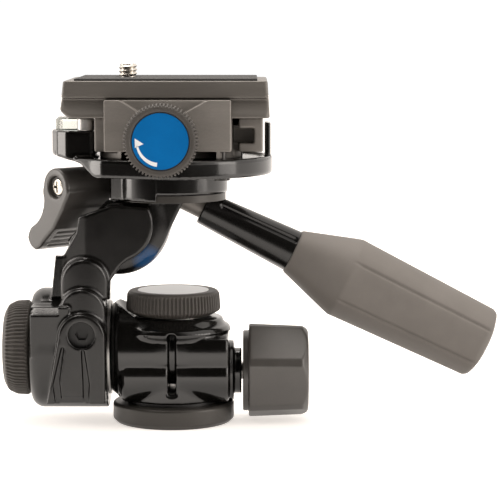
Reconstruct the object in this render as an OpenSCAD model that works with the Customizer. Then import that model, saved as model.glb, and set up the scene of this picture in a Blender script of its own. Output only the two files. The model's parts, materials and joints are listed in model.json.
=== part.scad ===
// Three-way pan and tilt head, built from separate pieces.
// Origin: centre of the base's seating face. +X towards the handle, +Y away from the front, +Z up.

/* [Base and pan spindle] */
// Radius of the base disc
base_r = 20.8; // [19.5:0.1:21.2]
// Height of the base disc
base_h = 7; // [6:0.1:7.2]
// Radius of the tripod thread (3/8 inch)
tripod_thread_r = 4.7625; // [4.7625, 3.175]
// Radius of the spindle that the housing turns on
pan_spindle_r = 8; // [7.5:0.1:8.2]
// Thickness of the friction washer under the housing
pan_washer_t = 0.9; // [0.6:0.05:1]

/* [Pan housing] */
// Height of the side tilt axis above the seating face
side_tilt_z = 25.3; // [25:0.1:26]
// Radius of the housing's barrel
barrel_r = 17.2; // [16.5:0.1:17.2]
// Left end of the barrel
barrel_left_x = -20.9; // [-20.9:0.1:-19.8]
// Right end of the barrel
barrel_right_x = 19.1; // [18:0.1:19.6]
// Height of the flat seat under the side tilt lock knob
turret_top_z = 36; // [35:0.1:36.2]
// Radius of the turret's collar
turret_r = 19.6; // [18.5:0.1:19.8]
// Width of the clamp groove round the barrel
clamp_groove_w = 4; // [3:0.1:5]
// Height of the pan lock axis
pan_lock_z = 17.2; // [17:0.1:17.4]

/* [Lock knobs] */
// Radius over the corners of the six-sided pan lock knob
hex_knob_r = 16.7; // [15:0.1:16.8]
// Length of the six-sided pan lock knob
hex_knob_len = 22.4; // [18:0.1:26]
// Radius of the side tilt lock knob
tilt_knob_r = 16.2; // [14:0.1:16.4]
// Height of the side tilt lock knob
tilt_knob_h = 8.5; // [7:0.1:9]
// Number of ribs round the side tilt lock knob
tilt_knob_ribs = 72; // [48:1:90]
// Radius of the drag knob
drag_knob_r = 16.3; // [14:0.1:17]
// Length of the drag knob
drag_knob_len = 9.2; // [7:0.1:11]
// Radius of the threaded studs of the lock knobs
stud_r = 3; // [2.5:0.1:3.2]

/* [Bracket and arm] */
// Outer radius of the bracket's hub
bracket_r = 20.5; // [19.5:0.1:20.6]
// Right face of the bracket
bracket_right_x = -22; // [-22.4:0.1:-22]
// Left face of the bracket
bracket_left_x = -48; // [-48.5:0.1:-46]
// Radius of the side tilt shaft
side_shaft_r = 5.5; // [5:0.1:5.6]
// Front face of the bracket's boss
boss_front_y = -24; // [-24.5:0.1:-23]
// Radius of the port in the boss
port_r = 4.4; // [4:0.05:4.6]
// Depth of the port in the boss
port_depth = 9; // [7:0.1:9.5]
// Front face of the arm's cheek
cheek_front_y = -15; // [-16:0.1:-14.5]
// Rear face of the arm's cheek
cheek_rear_y = -9.8; // [-10.2:0.1:-9.6]
// Radius of the arm's cheek
cheek_r = 12.6; // [11.5:0.1:13]

/* [Front tilt] */
// Place of the front tilt axis along X
pivot_x = -18.8; // [-19.2:0.1:-18.4]
// Height of the front tilt axis
pivot_z = 68.9; // [68.5:0.1:69.3]
// Radius of the front tilt shaft
front_shaft_r = 4; // [3:0.1:4.2]
// Radius of the tilt body's drum
drum_r = 18; // [17:0.1:18.2]
// Radius of the drum's rounded front edge
drum_edge_r = 5; // [3:0.1:5.4]
// Furthest the platform tips to the left, in degrees
tip_left_max = 20; // [10:1:22]
// Furthest the platform tips to the right, in degrees
tip_right_max = 4; // [2:0.5:5]

/* [Handle] */
// Slope of the handle below the level, in degrees
handle_slope = 26.2; // [25.5:0.1:27]
// Radius of the handle's inner rod
rod_r = 3.9; // [3.5:0.1:4.1]
// Where the sleeve starts, from the tilt body's face
sleeve_start = 7; // [7:0.1:9]
// Radius of the sleeve at its start
sleeve_r0 = 5.7; // [5.4:0.1:5.9]
// Radius of the sleeve at the grip
sleeve_r1 = 7.3; // [6.8:0.1:7.5]
// Where the grip starts
grip_start = 41.2; // [40:0.1:43]
// Where the grip is thickest
grip_knee = 61.6; // [59:0.1:64]
// Where the grip's straight part ends
grip_end = 112.9; // [106:0.1:114]
// Radius of the grip at its start
grip_r0 = 7.9; // [7.8:0.05:8.2]
// Radius of the grip at its knee
grip_r1 = 14.3; // [13:0.1:14.6]
// Radius of the grip at its end
grip_r2 = 12.6; // [11.5:0.1:13.4]
// Distance that the sleeve draws out
draw_out = 30; // [20:1:32]

/* [Top pan] */
// Place of the top pan axis along X
top_pan_x = -0.7; // [-1:0.1:-0.4]
// Height of the tilt body's top, under the scale ring
ring_bottom_z = 76.4; // [76.2:0.1:76.4]
// Thickness of the scale ring
scale_ring_t = 2.4; // [2.2:0.1:2.4]
// Radius of the scale ring
scale_ring_r = 18.7; // [18:0.1:18.7]
// Radius of the clamp ring under the platform
clamp_ring_r = 19.4; // [19.2:0.1:19.6]
// Radius of the spindle in the clamp ring
top_spindle_r = 12; // [11:0.1:12.4]
// Radius of the platform
platform_r = 34.5; // [34:0.1:35]
// Underside of the platform
platform_z0 = 85.4; // [85.2:0.1:85.6]
// Top of the platform's rim
platform_z1 = 91.5; // [91.3:0.1:91.7]

/* [Pan lever] */
// Height of the lever's axis
lever_z = 81; // [80.8:0.1:81.2]
// Radius of the lever's hub
lever_hub_r = 6.4; // [6:0.1:6.5]
// Length of the lever's hub
lever_len = 20.5; // [18:0.1:20.6]
// Number of finger grooves on the lever
lever_grooves = 4; // [3:1:5]

/* [Plate clamp] */
// Front face of the front jaw
jaw_front_y = -28; // [-29:0.1:-27.5]
// Left end of the front jaw
jaw_left_x = -21.5; // [-22:0.1:-20]
// Right end of the front jaw
jaw_right_x = 20.1; // [18:0.1:20.2]
// Distance that the front jaw opens
jaw_travel = 3; // [2:0.1:4]
// Place of the clamp knob along X
clamp_knob_x = -2.4; // [-4:0.1:0]
// Radius of the clamp knob
clamp_knob_r = 12.1; // [11:0.1:12.6]
// Front face of the clamp knob
clamp_knob_front_y = -44; // [-46:0.1:-42]
// Number of teeth round the clamp knob
clamp_knob_teeth = 80; // [60:1:90]

/* [Quick plate] */
// Left end of the plate
plate_left_x = -35.8; // [-37:0.1:-34]
// Right end of the plate
plate_right_x = 34.5; // [33:0.1:36]
// Depth of the plate at its dovetail, front to back
plate_depth = 50; // [49:0.1:50]
// Underside of the plate
plate_z0 = 105; // [105:0.1:105.4]
// Height of the dovetail band
dovetail_h = 6.2; // [5.5:0.1:6.5]
// Height of the plate's upper band
plate_band_h = 6; // [5:0.1:7]
// Thickness of the rubber pad
pad_t = 0.8; // [0.6:0.1:1.5]
// Radius of the camera screw (1/4 inch)
camera_screw_r = 3.175; // [3.175, 4.7625]
// Height of the camera screw above the pad
camera_screw_out = 4.4; // [4:0.1:6]

/* [Clearances] */
// Gap between a shaft and the bore it turns in
running_gap = 0.05; // [0.02:0.01:0.08]
// Gap between pieces that are fixed together
snug_gap = 0.02; // [0.01:0.01:0.04]
// Gap between flat faces that slide past each other
slide_gap = 0.15; // [0.1:0.01:0.2]

/* [Hidden] */
$fn = 72;
eps = 0.01;
edge_cut = 1.2;
far = 120;
rib_depth = 0.45;
housing_z0 = base_h + 1;
spindle_top_z = pan_lock_z + 1.2;
spindle_flange_r = barrel_r - 5.2;
side_bore_left_x = barrel_left_x - 1;
side_shaft_end_x = 5;
groove_floor_r = barrel_r - 3;
hex_knob_x = 23.9;
lock_boss_r = 7.8;
lock_flange_r = 10.4;
tilt_knob_z = turret_top_z + 0.7;
tilt_knob_top_z = tilt_knob_z + tilt_knob_h;
bracket_mid_x = (bracket_left_x + bracket_right_x) / 2;
drag_knob_x = bracket_left_x - 0.4;
port_x = -29.8;
port_z = 32.8;
boss_r = 7.8;
boss_top_z = 32;
boss_foot_z = 9.6;
cheek_top = 6.6;
slit_z0 = 39.6;
slit_z1 = 41.5;
drum_front_y = -9;
drum_rear_y = -1;
lever_room = 7.6;
block_rear_y = 13;
handle_x = 4;
handle_y = 6;
handle_z = 76;
handle_face_low = [-2.7, 62.6];
rod_in = 9;
rod_end = grip_start + 8;
stop_ring_r = rod_r + 0.9;
sleeve_lip = rod_end - draw_out - sleeve_start - 2;
ring_top_z = ring_bottom_z + scale_ring_t;
spindle_shoulder_z = platform_z1 - 1.4;
lever_x = -39.4;
lever_y = -8.4;
lever_turn = 135;
lever_screw_r = 2.5;
lever_screw_start = 4.4;
lever_screw_len = lever_len + 10.5;
lever_bottom = ring_bottom_z + 0.1 - lever_z;
jaw_z0 = 94.2;
jaw_z1 = 111;
scoop_half = 7;
scoop_side_z = jaw_z1 - 4.2;
scoop_floor_z = jaw_z1 - 6.4;
clamp_z0 = platform_z1 + 2;
clamp_screw_top_z = clamp_z0 + 4.8;
clamp_knob_z = 98.5;
clamp_screw_r = 3;
clamp_screw_angles = [-40, 0, 75];
guide_pin_r = 2;
guide_pin_xs = [-14.4, 9.6];
guide_pin_z = 99;
guide_pin_end_y = -25;
clamp_left_x = -25.4;
clamp_right_x = 30.6;
clamp_front_y = -17;
clamp_rear_y = plate_depth / 2 + 3;
clamp_pedestal_r = platform_r - 10.5;
pocket_left_x = clamp_right_x - 10;
pocket_right_x = clamp_right_x - 2.9;
pocket_z0 = clamp_z0 + 2.8;
pocket_z1 = clamp_z0 + 7.9;
lip_gap = 0.12;
dovetail_in = 3.5;
dovetail_foot = 0.8;
plate_z1 = plate_z0 + dovetail_h;
plate_z2 = plate_z1 + plate_band_h;
pad_z = plate_z2 + pad_t;
plate_half = plate_depth / 2;
band_half = plate_half - 0.8;
camera_screw_x = -15;
camera_slot_x = 12;
camera_neck_r = camera_screw_r - 0.575;
camera_recess_r = 8;
camera_head_r = camera_recess_r - 1;
camera_head_z = plate_z0 + 4.4;
camera_recess_z = camera_head_z + 0.8;
pad_left_x = plate_left_x + 4.2;
pad_right_x = plate_right_x - 5.8;
pad_half = plate_half - 2.7;
ear_x = -33.3;
ear_r = 7.65;
ear_top_z = 100.2;
ear_cup_r = ear_r - 1.2;
ear_cup_z = ear_top_z - 2.6;
pin_x = -28.8;
pin_y = -9.4;
pin_r = 2.9;
tab_top_z = 102.6;
skirt_right_x = -4.9;
relief = 28;

// A round bar along X, Y or Z, between two places on its axis.
module bar_x(r, a, b) { translate([a, 0, 0]) rotate([0, 90, 0]) cylinder(r = r, h = b - a); }
module bar_y(r, a, b) { translate([0, b, 0]) rotate([90, 0, 0]) cylinder(r = r, h = b - a); }
module bar_z(r, a, b) { translate([0, 0, a]) cylinder(r = r, h = b - a); }

// A box from its lowest to its highest corner.
module box(a, b) { translate(a) cube(b - a); }

// A flat outline drawn as X and Z, given depth from y0 to y1.
module slab_y(y0, y1) { translate([0, y1, 0]) rotate([90, 0, 0]) linear_extrude(y1 - y0) children(); }

// A flat outline drawn as Y and Z, given length from x0 to x1.
module slab_x(x0, x1) {
    translate([x0, 0, 0]) rotate([90, 0, 90]) linear_extrude(x1 - x0) children();
}

// Points of a ribbed rim: each rib has a crest and a root.
function rim_points(r, ribs, depth) = [for (i = [0 : 2 * ribs - 1])
    let (a = 180 * i / ribs, q = i % 2 == 0 ? r : r - depth) [q * cos(a), q * sin(a)]];

// A disc whose rim is ribbed between two heights and narrows to its bottom and top radius beyond them.
module ribbed_disc(r, ribs, depth, h, rib_z0, rib_z1, bottom_r, top_r) {
    root_r = r - depth - 0.1;
    rotate_extrude() polygon([[0, 0], [bottom_r, 0], [root_r, rib_z0 + 0.1], [root_r, rib_z1 - 0.1],
        [top_r, h], [0, h]]);
    translate([0, 0, rib_z0]) linear_extrude(rib_z1 - rib_z0) polygon(rim_points(r, ribs, depth));
}

// The places that the turning pieces are drawn at.
module at_side_tilt() { translate([0, 0, side_tilt_z]) children(); }
module at_pan_lock() { translate([0, 0, pan_lock_z]) children(); }
module at_pivot() { translate([pivot_x, 0, pivot_z]) children(); }
module at_top_pan() { translate([top_pan_x, 0, 0]) children(); }
module at_clamp_screws() {
    for (a = clamp_screw_angles)
        at_top_pan() rotate([0, 0, a]) translate([clamp_ring_r + 3.6, 0, 0]) children();
}
module at_clamp_knob() { translate([clamp_knob_x, 0, clamp_knob_z]) children(); }
module along_handle(s = 0) {
    translate([handle_x, handle_y, handle_z]) rotate([0, 90 + handle_slope, 0])
        translate([0, 0, s]) children();
}
module along_lever(s = 0) {
    translate([lever_x, lever_y, lever_z]) rotate([90, 0, lever_turn]) translate([0, 0, s]) children();
}

// ---- base ----
module pan_base() {
    color("#2b2a29") difference() {
        rotate_extrude() polygon([[0, 0], [base_r - edge_cut, 0], [base_r, edge_cut],
            [base_r, base_h - 0.5], [base_r - 0.5, base_h], [0, base_h]]);
        bar_z(pan_spindle_r - 1 + snug_gap, -1, base_h + 1);
        difference() {
            bar_z(base_r - 3, -1, 0.6);
            bar_z(pan_spindle_r + 3, -2, 1);
        }
    }
}

module pan_spindle() {
    color("#a8a6a0") difference() {
        union() {
            bar_z(pan_spindle_r - 1, 0, base_h + eps);
            bar_z(spindle_flange_r, base_h, base_h + pan_washer_t);
            bar_z(pan_spindle_r, base_h, spindle_top_z);
        }
        bar_z(tripod_thread_r, -1, base_h + 5);
        difference() {
            bar_z(pan_spindle_r + 1, base_h + 2.2, base_h + 6);
            bar_z(pan_spindle_r - 1.2, base_h, base_h + 8);
        }
    }
}

module pan_washer() {
    color("#3a3a3a") difference() {
        bar_z(barrel_r - 1.4, base_h, base_h + pan_washer_t);
        bar_z(spindle_flange_r + 0.3, base_h - 1, base_h + 2);
    }
}

// ---- pan housing ----
module housing_barrel() {
    chamfer = 1.6;
    at_side_tilt() rotate([0, 90, 0]) rotate_extrude() polygon([
        [0, barrel_left_x], [barrel_r - 2.4, barrel_left_x], [barrel_r, barrel_left_x + 2.6],
        [barrel_r, barrel_right_x - chamfer], [barrel_r - chamfer, barrel_right_x],
        [0, barrel_right_x]]);
}

// The barrel's top is cut level for the knob, and keeps a shoulder at the left end.
module housing_top_cut() {
    rotate_extrude() polygon([[0, turret_top_z], [tilt_knob_r + 0.6, turret_top_z],
        [tilt_knob_r + 3.6, side_tilt_z + barrel_r], [tilt_knob_r + 3.6, side_tilt_z + barrel_r + 4],
        [0, side_tilt_z + barrel_r + 4]]);
    box([0, -barrel_r - 5, turret_top_z], [barrel_right_x + 5, barrel_r + 5, turret_top_z + 20]);
}

module pan_housing() {
    waist_z = turret_top_z - 5.2;
    color("#171717") difference() {
        union() {
            difference() {
                housing_barrel();
                housing_top_cut();
            }
            rotate_extrude() polygon([[0, housing_z0], [barrel_r - 1, housing_z0],
                [barrel_r - 0.2, housing_z0 + 0.8], [barrel_r - 0.2, 15], [0, 15]]);
            rotate_extrude() polygon([[0, waist_z - 8], [turret_r - 2.2, waist_z - 8],
                [turret_r - 2.2, waist_z], [turret_r - 0.6, waist_z + 0.9], [turret_r, waist_z + 2.2],
                [turret_r - 1, waist_z + 3.2], [tilt_knob_r - 2.2, turret_top_z], [0, turret_top_z]]);
            at_pan_lock() bar_x(lock_flange_r, barrel_right_x - 3, barrel_right_x + 1.7);
            at_pan_lock() bar_x(lock_boss_r, barrel_right_x - 3, hex_knob_x - 0.5);
        }
        box([-far, -far, -5], [far, far, housing_z0]);
        at_side_tilt() difference() {
            bar_x(barrel_r + 6, -clamp_groove_w / 2, clamp_groove_w / 2);
            bar_x(groove_floor_r, -clamp_groove_w, clamp_groove_w);
            box([-far, -far, -far], [far, far, -side_tilt_z + housing_z0 + 3]);
            box([-far, -7, 0], [far, far, far]);
            box([-far, -far, turret_top_z - side_tilt_z - 3.4], [far, far, far]);
        }
        bar_z(pan_spindle_r + running_gap, 0, spindle_top_z + 0.3);
        at_side_tilt() bar_x(side_shaft_r + running_gap, side_bore_left_x, side_shaft_end_x + 0.3);
        at_pan_lock() bar_x(stud_r + running_gap, pan_spindle_r - 1, hex_knob_x);
        bar_z(stud_r + running_gap, side_tilt_z, turret_top_z + 1);
        translate([0, 0, base_h + 4.1]) bar_y(1.75, pan_spindle_r - 1, barrel_r + 1);
        rotate([0, 0, -60]) translate([0, 0, base_h + 4.1]) bar_y(1.75, pan_spindle_r - 1, barrel_r + 1);
    }
}

module spindle_set_screws() {
    color("#6d6d6d") for (a = [0, -60]) rotate([0, 0, a]) translate([0, 0, base_h + 4.1]) difference() {
        bar_y(1.75 - snug_gap, pan_spindle_r - 0.9, barrel_r - 1.2);
        rotate([-90, 0, 0]) translate([0, 0, barrel_r - 3]) cylinder(r = 1, h = 4, $fn = 6);
    }
}

module pan_brake_pad() {
    color("#b08d3c") at_pan_lock()
        bar_x(stud_r - snug_gap, pan_spindle_r + slide_gap, pan_spindle_r + 2.4);
}

module pan_lock_stud() {
    color("#9a9a98") at_pan_lock() bar_x(stud_r, pan_spindle_r + 2.6, hex_knob_x + hex_knob_len - 5);
}

// A six-sided knob that narrows to its outer end, with narrow flats on its corners.
module pan_lock_knob() {
    tip_r = hex_knob_r - 1.3;
    color("#262524") at_pan_lock() translate([hex_knob_x, 0, 0]) rotate([0, 90, 0]) difference() {
        union() {
            intersection() {
                rotate([0, 0, 12]) translate([0, 0, 2])
                    cylinder(r1 = hex_knob_r + 0.9, r2 = tip_r + 0.9, h = hex_knob_len - 2, $fn = 6);
                rotate_extrude() polygon([[0, 2], [hex_knob_r - 1.1, 2], [hex_knob_r, 3.2],
                    [tip_r + 0.2, hex_knob_len - 4], [tip_r - 2.6, hex_knob_len], [0, hex_knob_len]]);
            }
            cylinder(r = hex_knob_r - 2.9, h = 4);
        }
        translate([0, 0, -1]) cylinder(r = stud_r + snug_gap, h = hex_knob_len - 4 + snug_gap);
    }
}

// ---- side tilt lock ----
module tilt_lock_washer() {
    color("#8d8b88") difference() {
        bar_z(tilt_knob_r - 6, turret_top_z, turret_top_z + 0.55);
        bar_z(stud_r + 0.2, turret_top_z - 1, turret_top_z + 2);
    }
}

module tilt_brake_pad() {
    shaft_top_z = side_tilt_z + side_shaft_r;
    color("#b08d3c") bar_z(stud_r - snug_gap, shaft_top_z + 0.08, shaft_top_z + 1.6);
}

module tilt_lock_stud() {
    color("#9a9a98") bar_z(stud_r, side_tilt_z + side_shaft_r + 1.8, tilt_knob_top_z - 2.5);
}

module tilt_lock_knob() {
    color("#2a2928") translate([0, 0, tilt_knob_z]) difference() {
        ribbed_disc(tilt_knob_r, tilt_knob_ribs, rib_depth, tilt_knob_h, 1.9, tilt_knob_h - 0.9,
            tilt_knob_r - 3, tilt_knob_r - 1.3);
        translate([0, 0, -1]) cylinder(r = stud_r + snug_gap, h = tilt_knob_h - 1.5 + snug_gap);
        translate([0, 0, tilt_knob_h - 0.8]) cylinder(r = tilt_knob_r - 4, h = 2);
    }
}

module tilt_lock_inlay() {
    color("#d9dcdf") translate([0, 0, tilt_knob_top_z - 0.8 + snug_gap])
        cylinder(r = tilt_knob_r - 4 - snug_gap, h = 0.9);
}

// ---- side tilt bracket and arm ----
module side_tilt_washer() {
    color("#b9b7b2") at_side_tilt() difference() {
        bar_x(barrel_r - 1.2, bracket_right_x, barrel_left_x - slide_gap);
        bar_x(side_shaft_r + 0.1, bracket_right_x - 1, barrel_left_x);
    }
}

module side_tilt_shaft() {
    color("#a8a6a0") at_side_tilt() bar_x(side_shaft_r, bracket_left_x + 10, side_shaft_end_x);
}

// The arch-topped outline of the front boss, drawn as X and Z.
module boss_outline(arch_r, x, z0, z1, flare) {
    translate([x, z1]) circle(r = arch_r);
    polygon([[x - arch_r - flare, z0], [x + arch_r, z0], [x + arch_r, z1], [x - arch_r, z1]]);
}

module bracket_hub() {
    at_side_tilt() rotate([0, 90, 0]) rotate_extrude() polygon([[0, bracket_left_x],
        [bracket_r - 2, bracket_left_x], [bracket_r, bracket_left_x + 2],
        [bracket_r, bracket_right_x - 0.6], [bracket_r - 0.6, bracket_right_x], [0, bracket_right_x]]);
}

// The cheek and the upper neck, cut clear of the platform at both ends of its tilt.
module cheek_outline() {
    difference() {
        union() {
            translate([pivot_x, pivot_z]) circle(r = cheek_r);
            polygon([[-36.6, 44], [-21, 44], [-20.6, 50], [pivot_x + 3, pivot_z - cheek_r + 0.4],
                [pivot_x, pivot_z + 6], [-26.5, 76], [-31, 68], [-36.6, 58]]);
        }
        translate([pivot_x, pivot_z]) rotate(tip_left_max) translate([-far, cheek_top]) square(2 * far);
        translate([pivot_x, pivot_z]) rotate(-tip_right_max) translate([-far, cheek_top]) square(2 * far);
    }
}

module bracket_arm() {
    color("#1d1c1b") difference() {
        union() {
            bracket_hub();
            slab_y(boss_front_y, -8) boss_outline(boss_r, port_x, boss_foot_z, boss_top_z, 4);
            slab_y(boss_front_y + 3.2, -5)
                boss_outline(boss_r, port_x, boss_top_z - 2, boss_top_z + 8, 0);
            slab_y(boss_front_y + 6, cheek_rear_y)
                boss_outline(boss_r + 0.1, port_x + 0.6, boss_top_z + 12, boss_top_z + 17.6, 0);
            slab_y(cheek_front_y, cheek_rear_y) cheek_outline();
        }
        at_side_tilt() bar_x(side_shaft_r + snug_gap, bracket_left_x + 10 - snug_gap, bracket_right_x + 1);
        at_side_tilt() bar_x(stud_r + running_gap, bracket_left_x - 1, bracket_left_x + 11);
        at_pivot() bar_y(front_shaft_r + snug_gap, cheek_front_y + 2, cheek_rear_y + 1);
        translate([port_x, 0, port_z]) bar_y(port_r, boss_front_y - 1, boss_front_y + port_depth);
        box([bracket_left_x - 1, -far, slit_z0], [bracket_left_x + 9.6, far, slit_z1]);
        boss_groove(port_x - 1.8, 12);
        boss_groove(port_x + 2.2, -6);
    }
}

// A shallow groove in the boss's face, which leans from its upper end.
module boss_groove(x, lean) {
    translate([x, boss_front_y, port_z - 5.8]) rotate([0, lean, 0]) box([-0.5, -1, -30], [0.5, 0.9, 0]);
}

module port_screw() {
    color("#4b4a48") translate([port_x, 0, port_z]) difference() {
        bar_y(port_r - snug_gap, boss_front_y + 3.4, boss_front_y + port_depth - snug_gap);
        rotate([90, 0, 0]) translate([0, 0, -boss_front_y - 5.4]) cylinder(r = 2.3, h = 4, $fn = 6);
    }
}

module drag_knob() {
    color("#2a2928") at_side_tilt() translate([drag_knob_x, 0, 0]) rotate([0, -90, 0]) difference() {
        ribbed_disc(drag_knob_r, tilt_knob_ribs, rib_depth, drag_knob_len, 1.2, drag_knob_len - 2.2,
            drag_knob_r - 1.2, drag_knob_r - 3.4);
        translate([0, 0, -1]) cylinder(r = stud_r + snug_gap, h = drag_knob_len - 2 + snug_gap);
        translate([0, 0, drag_knob_len - 0.8]) cylinder(r = drag_knob_r - 6, h = 2);
    }
}

module drag_stud() {
    color("#9a9a98") at_side_tilt() bar_x(stud_r, drag_knob_x - drag_knob_len + 3, bracket_left_x + 9.8);
}

module drag_knob_cap() {
    color("#1c1c1c") at_side_tilt() bar_x(drag_knob_r - 6 - snug_gap, drag_knob_x - drag_knob_len,
        drag_knob_x - drag_knob_len + 0.8 - snug_gap);
}

// ---- tilt body ----
// The drum turns about Y and has a rounded front edge.
module tilt_drum() {
    at_pivot() translate([0, drum_rear_y, 0]) rotate([90, 0, 0]) rotate_extrude() {
        square([drum_r - drum_edge_r, drum_rear_y - drum_front_y]);
        square([drum_r, drum_rear_y - drum_front_y - drum_edge_r]);
        intersection() {
            translate([drum_r - drum_edge_r, drum_rear_y - drum_front_y - drum_edge_r])
                circle(r = drum_edge_r);
            square([drum_r, drum_rear_y - drum_front_y]);
        }
    }
}

module tilt_body() {
    color("#1b1a1a") difference() {
        union() {
            difference() {
                tilt_drum();
                box([-far, -far, ring_bottom_z], [far, far, far]);
                at_pivot() rotate([0, -45, 0]) box([-far, -far, lever_room], [6, far, far]);
            }
            slab_y(drum_front_y + 1, block_rear_y) polygon([[pivot_x + 7, pivot_z - 12], [-6, pivot_z - 11],
                handle_face_low, [handle_x, ring_bottom_z + eps], [pivot_x + 7, ring_bottom_z + eps]]);
            at_top_pan() bar_z(scale_ring_r - 3.6, ring_bottom_z, ring_top_z);
            at_top_pan() bar_z(top_spindle_r, ring_bottom_z, spindle_shoulder_z + 0.05);
        }
        at_pivot() bar_y(front_shaft_r + running_gap, drum_front_y - 1, block_rear_y + 1);
        at_pivot() bar_y(5.4, drum_rear_y - 1, block_rear_y + 1);
        along_handle(-rod_in - 0.2) cylinder(r = rod_r + running_gap, h = 40);
        along_handle(0.02) cylinder(r = sleeve_r0 + 0.6, h = 30);
        at_top_pan() for (a = [45 : 90 : 315]) rotate([0, 0, a]) translate([8, 0, 0])
            bar_z(1.5 + snug_gap, spindle_shoulder_z - 6, spindle_shoulder_z + 1);
    }
}

module front_tilt_shaft() {
    color("#a8a6a0") at_pivot() bar_y(front_shaft_r, cheek_front_y + 2 + snug_gap, drum_rear_y + 3.4);
}

module front_tilt_washer() {
    color("#b9b7b2") at_pivot() difference() {
        bar_y(6.8, cheek_rear_y, drum_front_y - slide_gap);
        bar_y(front_shaft_r + 0.1, cheek_rear_y - 1, drum_front_y);
    }
}

module front_tilt_nut() {
    color("#a8a6a0") at_pivot() difference() {
        translate([0, drum_rear_y + 2.4, 0]) rotate([90, 0, 0]) cylinder(r = 5, h = 3.2, $fn = 6);
        bar_y(front_shaft_r + snug_gap, drum_rear_y - 2, drum_rear_y + 4);
    }
}

module scale_ring() {
    color("#5b5955") difference() {
        at_top_pan() difference() {
            bar_z(scale_ring_r, ring_bottom_z + 0.02, ring_top_z);
            bar_z(scale_ring_r - 3.6 + snug_gap, ring_bottom_z - 1, ring_top_z + 1);
        }
        along_handle(-20) cylinder(r = sleeve_r0 + 0.6, h = 60);
    }
}

module pan_retaining_plate() {
    color("#8d8b88") at_top_pan() difference() {
        bar_z(top_spindle_r + 3.4, spindle_shoulder_z + 0.05, spindle_shoulder_z + 1.25);
        for (a = [45 : 90 : 315]) rotate([0, 0, a]) translate([8, 0, 0])
            bar_z(1.5 + snug_gap, spindle_shoulder_z - 1, spindle_shoulder_z + 3);
    }
}

module retaining_screws() {
    color("#6d6d6d") at_top_pan() for (a = [45 : 90 : 315]) rotate([0, 0, a]) translate([8, 0, 0]) {
        bar_z(1.5, spindle_shoulder_z - 5.5, spindle_shoulder_z + 1.4);
        difference() {
            bar_z(2.7, spindle_shoulder_z + 1.25, spindle_shoulder_z + 2.5);
            translate([-3, -0.4, spindle_shoulder_z + 1.9]) cube([6, 0.8, 1]);
        }
    }
}

// ---- handle ----
module handle_rod() {
    color("#8f8d89") along_handle(-rod_in) cylinder(r = rod_r, h = rod_end + rod_in);
}

module rod_stop_ring() {
    color("#3a3a3a") along_handle(rod_end) cylinder(r = stop_ring_r, h = 2);
}

module handle_sleeve() {
    sleeve_len = grip_start + 8 - sleeve_start;
    color("#232221") difference() {
        along_handle(sleeve_start) cylinder(r1 = sleeve_r0, r2 = sleeve_r1, h = grip_start - sleeve_start);
        along_handle(sleeve_start - 1) cylinder(r = rod_r + running_gap, h = sleeve_len);
        along_handle(sleeve_start + sleeve_lip) cylinder(r = stop_ring_r + running_gap, h = sleeve_len);
        along_handle(sleeve_start + 5) rotate([0, 0, -128]) box([0, -0.8, 0], [20, 0.8, sleeve_len]);
    }
}

// The grip swells to a knee and has six soft flats, with a groove between each two.
module grip_blank() {
    rotate_extrude() polygon([[0, grip_start], [grip_r0 - 0.4, grip_start], [grip_r0, grip_start + 0.4],
        [grip_r1 - 0.5, grip_knee - 1.6], [grip_r1, grip_knee], [grip_r1 - 0.1, grip_knee + 1.6],
        [grip_r2, grip_end], [grip_r2 - 0.8, grip_end + 1.2], [grip_r2 - 3.5, grip_end + 2.2],
        [0, grip_end + 2.7]]);
}

module handle_grip() {
    groove_r = 0.7;
    lean = atan((grip_r1 - grip_r2) / (grip_end - grip_knee));
    color("#3c3a38") along_handle() difference() {
        grip_blank();
        for (a = [0 : 60 : 300]) rotate([0, 0, a]) translate([grip_r1 + 0.2, 0, grip_knee + 2])
            rotate([0, -lean, 0]) cylinder(r = groove_r, h = grip_end);
        translate([0, 0, grip_start - 1]) cylinder(r = sleeve_r1 - 0.6, h = grip_end - grip_start - 18);
    }
}

module grip_plug() {
    color("#2b2b2b") along_handle() difference() {
        translate([0, 0, grip_start + snug_gap])
            cylinder(r = sleeve_r1 - 0.6 - snug_gap, h = grip_end - grip_start - 19.1);
        translate([0, 0, grip_start - 1]) cylinder(r = rod_r + 1.1, h = grip_end - grip_start - 21);
    }
}

// ---- top platform ----
module lever_ear() {
    along_lever() box([-8, lever_bottom, lever_len + 0.7], [5.4, platform_z0 - lever_z + eps, 36]);
}

module level_ear() {
    translate([ear_x, 0, 0]) bar_z(ear_r, platform_z1 - 0.5, ear_top_z);
    translate([ear_x, 0, 0]) bar_z(4, platform_z1 - 3.4, platform_z1);
    translate([pin_x, pin_y, 0]) bar_z(3.2, platform_z1 - 0.5, ear_top_z);
    box([pin_x - pin_r, pin_y, platform_z1 - 0.5], [pin_x + pin_r, -1, ear_top_z]);
}

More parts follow.
